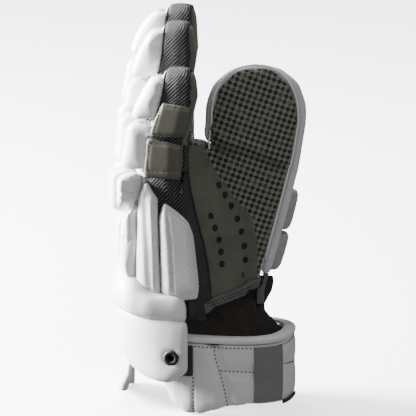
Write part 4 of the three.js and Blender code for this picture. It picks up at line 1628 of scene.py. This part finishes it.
@dataclass
class StitchedPads:
    """The flat pads with stitched borders on the outer side of the hand and the little finger."""

    border: float = 4.2
    voxel: float = 1.3

    def build(self) -> None:
        """Makes the four pads."""
        high = self.up(0.71, 0.8, 0.7, 0.66, 0.6)
        side = Patch(HAND, 265, 299, self.up(0.11, 0.13), high, (0, 0.14, 0.66, 0.86, 1))
        self.ribbed("side_pad", side)
        high = self.up(0.86, 0.88, 0.94, 0.86, 0.82)
        edge = Patch(HAND, 227, 264, self.up(0.14, 0.11), high, (0, 0.12, 0.45, 0.86, 1))
        self.ribbed("edge_pad", edge)
        little = FINGERS["little"]
        self.taupe("little_side_pad_1", Patch(little, 242, 312, (200.2, 200.2), (228.8, 224.0)))
        self.taupe("little_side_pad_2", Patch(little, 243, 316, (230.2, 229.7), (259.1, 254.7)))

    def up(self, *shares: float) -> tuple[float, ...]:
        """Shares of the palm's length as heights in millimetres."""
        return tuple(up_hand(share) for share in shares)

    def ribbed(self, node: str, patch: Patch) -> None:
        """Makes one ribbed pad.

        Args:
            node: Its CAD node.
            patch: Where it lies.
        """
        obj = soft_copy(f"{node}_ribbed", node, self.voxel, 4)
        quilt = patch.inset(surface_of(obj), self.border)
        if node == "edge_pad":
            quilt = quilt[2:3]
            places = [(mix(252, 258, i / 30), mix(181, 108, i / 30)) for i in range(31)]
            fold = trail_round(surface_of(obj), HAND, places)
            mark_seams(obj, [fold], 5.5, 1.3, 0.0)
        # Painted shade: the quilted seam grooves are darkened.
        mark_seams(obj, quilt, 1.8, 0.5, 0.25)
        tuck(obj, patch.low[0], 1.2, 6.0)
        set_coords(obj, HAND.surface_coords(150))
        hand_over(obj, Slot.TEXTURED, [node])
        tree = surface_of(obj)
        for line in patch.inset(tree, self.border * 0.42)[1:3] + patch.inset(tree, self.border * 0.9)[1:3]:
            PRICKS.sew(line)

    def taupe(self, node: str, patch: Patch) -> None:
        """Makes one leather pad on the little finger.

        Args:
            node: Its CAD node.
            patch: Where it lies.
        """
        obj = soft_copy(f"{node}_leather", node, self.voxel, 4)
        lower = node.endswith("1")
        for vert in obj.data.vertices:
            angle, z = patch.limb.round_place(vert.co)
            near = smoothstep(278, 246, angle)
            up, down = smoothstep(216, 228, z), smoothstep(243, 231, z)
            vert.co.x -= 2.6 * near * (1 - smoothstep(238, 256, z)) * MM
            vert.co.z += (1.6 * up * near if lower else -1.3 * down * near) * MM
        # Painted shade: the quilted seam grooves are darkened.
        mark_seams(obj, patch.inset(surface_of(obj), 2.4), 1.5, 0.5, 0.5)
        hand_over(obj, Slot.TAUPE, [node])
        tree = surface_of(obj)
        for line in patch.inset(tree, 1.3):
            TAUPE_THREAD.sew(line)


@dataclass
class Thumb:
    """The rim round the thumb's palm face."""

    voxel: float = 1.3
    tail: float = 101.0

    def build(self) -> None:
        """Makes the rim and the piping between it and the face."""
        low, high = (Vector((0, 0, z * MM)) for z in (self.tail, self.tail + 2))
        rim = new_object("thumb_rim_roll", part_of("thumb_rim", low, Vector((0, 0, -1))))
        remesh(rim, self.voxel)
        relax(rim, 70, 1.3)
        hand_over(rim, Slot.GREY, ["thumb_rim"], look=RIM_CLOTH)
        tail = new_object("thumb_rim_tail", part_of("thumb_rim", high, Vector((0, 0, 1))))
        remesh(tail, 1.0)
        relax(tail, 8, -0.8)
        hand_over(tail, Slot.BLACK, look=HEM_CLOTH)
        path = [face_stretch(co) for co in self.outline()]
        towards = THUMB.point(200, 0, 10) - THUMB.point(200, 0, 0)
        piece = new_object("thumb_face_piping", tube(path, 0.8, 8, [towards.normalized()] * len(path)))
        hand_over(piece, Slot.WHITE)

    def outline(self) -> Path:
        """The edge of the thumb's palm face, from the fork over the tip to the foot."""
        c, s = math.cos(THUMB.turn), math.sin(THUMB.turn)
        heights = [mix(203, 238, i / 12) for i in range(12)]
        heights += [238 + 33.4 * math.sin(math.pi / 2 * i / 14) for i in range(15)]
        sides = [(z, -1) for z in heights] + [(z, 1) for z in reversed(heights[:-1])]
        sides += [(z, 1) for z in (190, 175, 160, 145, 130, 116)]
        path = []
        for z, side in sides:
            row = THUMB.at(z)
            share = math.sqrt(max(0.0, 1 - (max(0.0, z - 238) / 34) ** 2))
            deep = row.deep / 2 * math.sqrt(share)
            width = side * row.wide / 2 * share * (1 - min(1.0, 5.2 / deep) ** 2.8) ** (1 / 2.8)
            depth = 5.4
            path.append(place(row.x + depth * c - width * s, row.y + depth * s + width * c, z))
        return path


@dataclass
class WristRoll:
    """The padded roll over the back of the wrist, with the elastic and the palm's hem beside it."""

    voxel: float = 1.7
    hem: Dots = ((203, 306), (212, 304), (232, 296), (262, 283))

    def build(self) -> None:
        """Makes the roll, the elastic with its end, and the hem."""
        roll = soft_copy("wrist_roll_foam", "wrist_roll", self.voxel, 24, 0.8)
        inflate(roll, 5.0, 1.8)
        for vert in roll.data.vertices:
            angle, z = HAND.round_place(vert.co)
            far = smoothstep(258, 215, angle)
            vert.co.z += (6.5 * far * smoothstep(84, 112, z) + 1.5 * far * smoothstep(96, 80, z)) * MM
        tree = surface_of(roll)
        places = []
        for i in range(81):
            u = i / 80
            arch = math.sin(math.pi * u) ** 0.8
            places.append((mix(104, 280, u), 75 + 5 * arch + 5.0))
        seam = trail_round(tree, HAND, places)
        # Painted shade: the roll's seam groove is darkened.
        mark_seams(roll, [seam], 1.6, 0.9, 0.5)
        hand_over(roll, Slot.WHITE, ["wrist_roll"], split=1)
        elastic = soft_copy("wrist_elastic_tape", "wrist_elastic", 0.8, 4)
        hand_over(elastic, Slot.BLACK, ["wrist_elastic"])
        tape = sheet(12, 24, lambda u, v: HAND.point(mix(78, 103, v), mix(297, 313 - 5 * v, u), 1.5), -1.2)
        hand_over(new_object("wrist_elastic_end", tape), Slot.BLACK)
        hem = soft_copy("palm_hem_binding", "palm_hem", 0.8, 5)
        hand_over(hem, Slot.GREY, ["palm_hem"], look=HEM_CLOTH)
        tree = surface_of(hem)
        for shift in (-1.5, 1.5):
            DARK_THREAD.sew(VIEW.trail(tree, [(x, y + shift) for x, y in self.hem]))


@dataclass
class Cuff:
    """The ribbed flap round the back of the wrist, its eyelet and the lip inside its far end."""

    eyelet: tuple[float, float, float] = (2.6, 6.4, 2.5)

    def build(self) -> None:
        """Makes the flap, the lip and the eyelet."""
        flap = soft_copy("cuff_flap_foam", "cuff_flap", 1.4, 26, 0.5)
        for vert in flap.data.vertices:
            vert.co.z += 7 * MM * smoothstep(62, 74, vert.co.z / MM)
        set_coords(flap, CUFF.surface_coords)
        hand_over(flap, Slot.TEXTURED, ["cuff_flap"])
        right, _up, _back = VIEW.axes()
        end = VIEW.target() + right * (134 - VIEW.middle[0]) * VIEW.dot * MM
        lip = new_object("cuff_lip_foam", part_of("cuff_lip", end, right))
        remesh(lip, 1.4)
        relax(lip, 6)
        hand_over(lip, Slot.BAND, ["cuff_lip"])
        self.ring()

    def ring(self) -> None:
        """Spins the eyelet round its own axis."""
        hole, edge, high = self.eyelet
        middle = CUFF.point(267, 50)
        bm = bmesh.new()
        outline = [(hole, -6.0), (hole, 0.9), (hole + 0.5, high), (edge - 1.2, high)]
        outline += [(edge, high - 1.0), (edge, 0.2), (edge - 1.5, 0.2), (edge - 1.5, -6.0)]
        verts = [bm.verts.new((r * MM, 0, h * MM)) for r, h in outline]
        edges = [bm.edges.new((a, b)) for a, b in zip(verts, verts[1:] + verts[:1])]
        bmesh.ops.spin(
            bm, geom=verts + edges, cent=(0, 0, 0), axis=(0, 0, 1), angle=math.tau, steps=40, use_merge=True
        )
        bmesh.ops.remove_doubles(bm, verts=bm.verts, dist=1e-7)
        bmesh.ops.recalc_face_normals(bm, faces=bm.faces)
        turn = Matrix.Rotation(math.pi / 2, 4, "X")
        bmesh.ops.transform(bm, matrix=Matrix.Translation(middle) @ turn, verts=bm.verts)
        hand_over(new_object("eyelet", bm), Slot.METAL, ["grommet"])


@dataclass
class Wristband:
    """The padded band round the front of the wrist."""

    seam: Dots = ((213.1, 343), (215.2, 357.2), (219.5, 372), (223.7, 386.8), (227.5, 405))
    channel: Dots = ((219.5, 371), (255.4, 372.4))
    side: Dots = ((193, 376), (193, 414))
    far_channel: Dots = ((283.5, 364), (296, 360.4))
    foot: Dots = (
        (-140, 35), (-133, 26), (-121, 9), (-108, 1.5), (-101, 0), (-96, 0), (-87, 6), (-66, 11),
        (-30, 10), (-11, 9), (8, 7.5), (60, 5), (78, 0), (118, 0),
    )

    def build(self) -> None:
        """Makes the band, its rolled edge, the panel and the strap."""
        band = soft_copy("wristband_foam", "wristband", 1.3, 6)
        for vert in band.data.vertices:
            vert.co.z = self.raised(vert.co)
        tree = surface_of(band)
        seams = [VIEW.trail(tree, line) for line in (self.seam, self.channel, self.far_channel)]
        mark_seams(band, seams, 9.0, 2.4, 0.0)
        # Painted shade: the band's seam grooves and side seam are darkened.
        mark_seams(band, seams, 1.4, 0.6, 0.4)
        mark_seams(band, [VIEW.trail(tree, self.side)], 1.4, 0.8, 0.8)
        hand_over(band, Slot.BAND, ["wristband"])
        tree = surface_of(band)
        for line in (self.seam, self.channel, self.far_channel, self.side):
            DARK_THREAD.sew(VIEW.trail(tree, line))
        ring = [(angle, BAND.point(angle, 58.4, -2)) for angle in range(-112, 60, 2)]
        DARK_THREAD.sew(trail_near(tree, [co for _angle, co in ring]))
        edge = soft_copy("wristband_rolled_edge", "wristband_edge", 1.2, 5, 0.2)
        displace(edge, lambda co, _n: -1.3 * smoothstep(0, 30, unplace(co)[1]) - 0.3)
        hand_over(edge, Slot.BAND, ["wristband_edge"])
        self.panel()
        strap = soft_copy("cuff_strap_tape", "cuff_strap", 0.8, 3)
        hand_over(strap, Slot.BLACK, ["cuff_strap"])

    def raised(self, co: Vector) -> float:
        """The height of a point of the band once its lower edge follows its own curve."""
        angle = math.degrees(BAND.angle(co))
        turn = angle if angle < 119 else angle - 360
        u = (turn + 140) / 258
        arch = 9 * smoothstep(0.2, 0.36, u) * (1 - smoothstep(0.68, 0.8, u))
        old = arch + 26 * min(1.0, max(0.0, 1 - u / 0.16))
        new = self.foot[0][1] if turn < self.foot[0][0] else self.foot[-1][1]
        for (a, za), (b, zb) in zip(self.foot, self.foot[1:]):
            if a <= turn <= b:
                new = mix(za, zb, (turn - a) / (b - a))
        top = 60.0
        return mix(new, top, (co.z / MM - old) / (top - old)) * MM

    def panel(self) -> None:
        """Makes the cloth panel on the front and the tab at its foot."""

        def spot(u: float, v: float) -> Vector:
            """A point of the panel, bulging like the band under it."""
            swell = 1.6 - 0.9 * (2 * v - 1) ** 4 - 0.8 * (2 * u - 1) ** 6
            return BAND.point(mix(-62, -25.5, u), mix(12.5, 58.5, v), -swell)

        panel = new_object("wristband_cloth_panel", sheet(60, 60, spot, 1.2))
        set_coords(panel, BAND.surface_coords)
        hand_over(panel, Slot.PANEL, ["wristband_panel"])

        def tab_spot(u: float, v: float) -> Vector:
            """A point of the tab."""
            return BAND.point(mix(-25, 4, u), mix(8.6, 11.6, v), -0.8)

        hand_over(new_object("wristband_tab", sheet(24, 4, tab_spot, 1.0)), Slot.BLACK)


@dataclass
class Linings:
    """Cloth inside the wrist."""

    def build(self) -> None:
        """Makes the linings: two from their drawings, finely divided and eased, and four rings."""
        self.drawn("back_lining_cloth", "back_lining", Slot.LINING)
        # The side lining, taupe in its slot, takes the darkened lining finish as painted shade.
        self.drawn("side_lining_cloth", "side_lining", Slot.TAUPE)
        self.ring("wristband_lining", BAND, (-138, 116), (36, 61), 9.6, (120, 14))
        self.ring("wristband_low_lining", BAND, (-100, 116), (13, 36), 9.6, (110, 8))
        self.ring("wrist_side_lining", BAND, (72, 156), (34, 80), 12, (60, 12))
        self.ring("cuff_lining", CUFF, (96, 272), (46, 76), 8.4, (110, 10))

    def drawn(self, name: str, node: str, slot: Slot) -> None:
        """Makes one lining from its drawing, in the darkened lining finish: real lining with painted shade.
        The side one reaches out under the thumb.
        """
        bm = cad_copy([node])
        bmesh.ops.subdivide_edges(bm, edges=bm.edges, cuts=3, use_grid_fill=True)
        smooth(bm, 6, 0.4)
        if node == "side_lining":
            right = VIEW.axes()[0]
            for vert in bm.verts:
                x, _y, z = unplace(vert.co)
                vert.co += right * 17 * smoothstep(62, 90, z) * smoothstep(5, 38, x) * MM
        hand_over(new_object(name, bm), slot, [node], look=SHADED_LINING)

    def ring(
        self,
        name: str,
        oval: Oval,
        turn: tuple[float, float],
        rise: tuple[float, float],
        inward: float,
        faces: tuple[int, int],
    ) -> None:
        """Makes one lining that follows an oval, in the darkened lining finish: real lining with painted
        shade.

        Args:
            name: The piece's name.
            oval: The oval.
            turn: The angles where it starts and ends.
            rise: Its lower and upper edge in millimetres.
            inward: Its distance inside the oval in millimetres.
            faces: Its faces along and across.
        """

        def spot(u: float, v: float) -> Vector:
            """A point of the lining."""
            return oval.point(mix(*turn, u), mix(*rise, v), inward)

        hand_over(new_object(name, sheet(*faces, spot, 0.8)), Slot.LINING, look=SHADED_LINING)


@dataclass
class Studio:
    """The floor, the lights and the camera."""

    lens: float = 400.0
    key: float = 640.0
    fill: float = 9.0
    top: float = 95.0
    sky: float = 0.3
    glow: float = 2.0

    def build(self) -> None:
        """Sets the scene."""
        self.floor()
        right, up, back = VIEW.axes()
        middle = VIEW.target()
        self.lamp("key", middle - right * 1.9 - back * 0.28 + up * 0.62, 0.8, self.key)
        self.lamp("fill", middle + back * 2.2 + up * 0.4 + right * 0.7, 1.6, self.fill)
        self.lamp("top", middle + up * 2.0 - back * 0.25 - right * 0.7, 1.6, self.top)
        self.camera()
        world = bpy.data.worlds.new("studio")
        bpy.context.scene.world = world
        world.use_nodes = True
        world.node_tree.nodes["Background"].inputs["Color"].default_value = (0.92, 0.93, 0.94, 1)
        world.node_tree.nodes["Background"].inputs["Strength"].default_value = self.sky

    def floor(self) -> None:
        """Makes a flat pale floor."""
        bm = bmesh.new()
        bmesh.ops.create_grid(bm, x_segments=1, y_segments=1, size=6.0)
        obj = new_object("floor", bm)
        material = bpy.data.materials.new("pale floor")
        material.use_nodes = True
        graph = Graph(material.node_tree)
        shader = material.node_tree.nodes["Principled BSDF"]
        cloud = graph.noise(graph.node("ShaderNodeTexCoord").outputs["Object"], 2.0)
        graph.put(shader.inputs["Base Color"], graph.blend(cloud, (0.86, 0.86, 0.86), (0.9, 0.9, 0.9)))
        shader.inputs["Roughness"].default_value = 0.9
        shader.inputs["Emission Color"].default_value = (1, 1, 1, 1)
        shader.inputs["Emission Strength"].default_value = self.glow
        obj.visible_diffuse = obj.visible_glossy = False
        obj.data.materials.append(material)

    def lamp(self, name: str, at: Vector, size: float, power: float) -> None:
        """Hangs a square soft light that faces the glove."""
        data = bpy.data.lights.new(name, "AREA")
        data.size = size
        data.energy = power
        obj = bpy.data.objects.new(name, data)
        obj.location = at
        obj.rotation_euler = (at - VIEW.target()).to_track_quat("Z", "Y").to_euler()
        bpy.context.scene.collection.objects.link(obj)

    def camera(self) -> None:
        """Places the camera."""
        data = bpy.data.cameras.new("camera")
        data.lens = self.lens
        data.sensor_width = 36
        obj = bpy.data.objects.new("camera", data)
        right, up, back = VIEW.axes()
        turn = Matrix((right, up, back)).transposed().to_4x4()
        distance = VIEW.dot * 416 * MM / 36 * self.lens
        obj.matrix_world = Matrix.Translation(VIEW.target() + back * distance) @ turn
        bpy.context.scene.collection.objects.link(obj)
        bpy.context.scene.camera = obj


def main() -> None:
    """Builds the glove piece by piece."""
    for kind in (Shell, FoamPads, StitchedPads, Thumb, WristRoll, Cuff, Wristband, Linings):
        log.info("making %s", kind.__name__)
        kind().build()
    for thread in (DARK_THREAD, TAUPE_THREAD, PRICKS):
        thread.build()
    Studio().build()


if __name__ == "__main__":
    main()
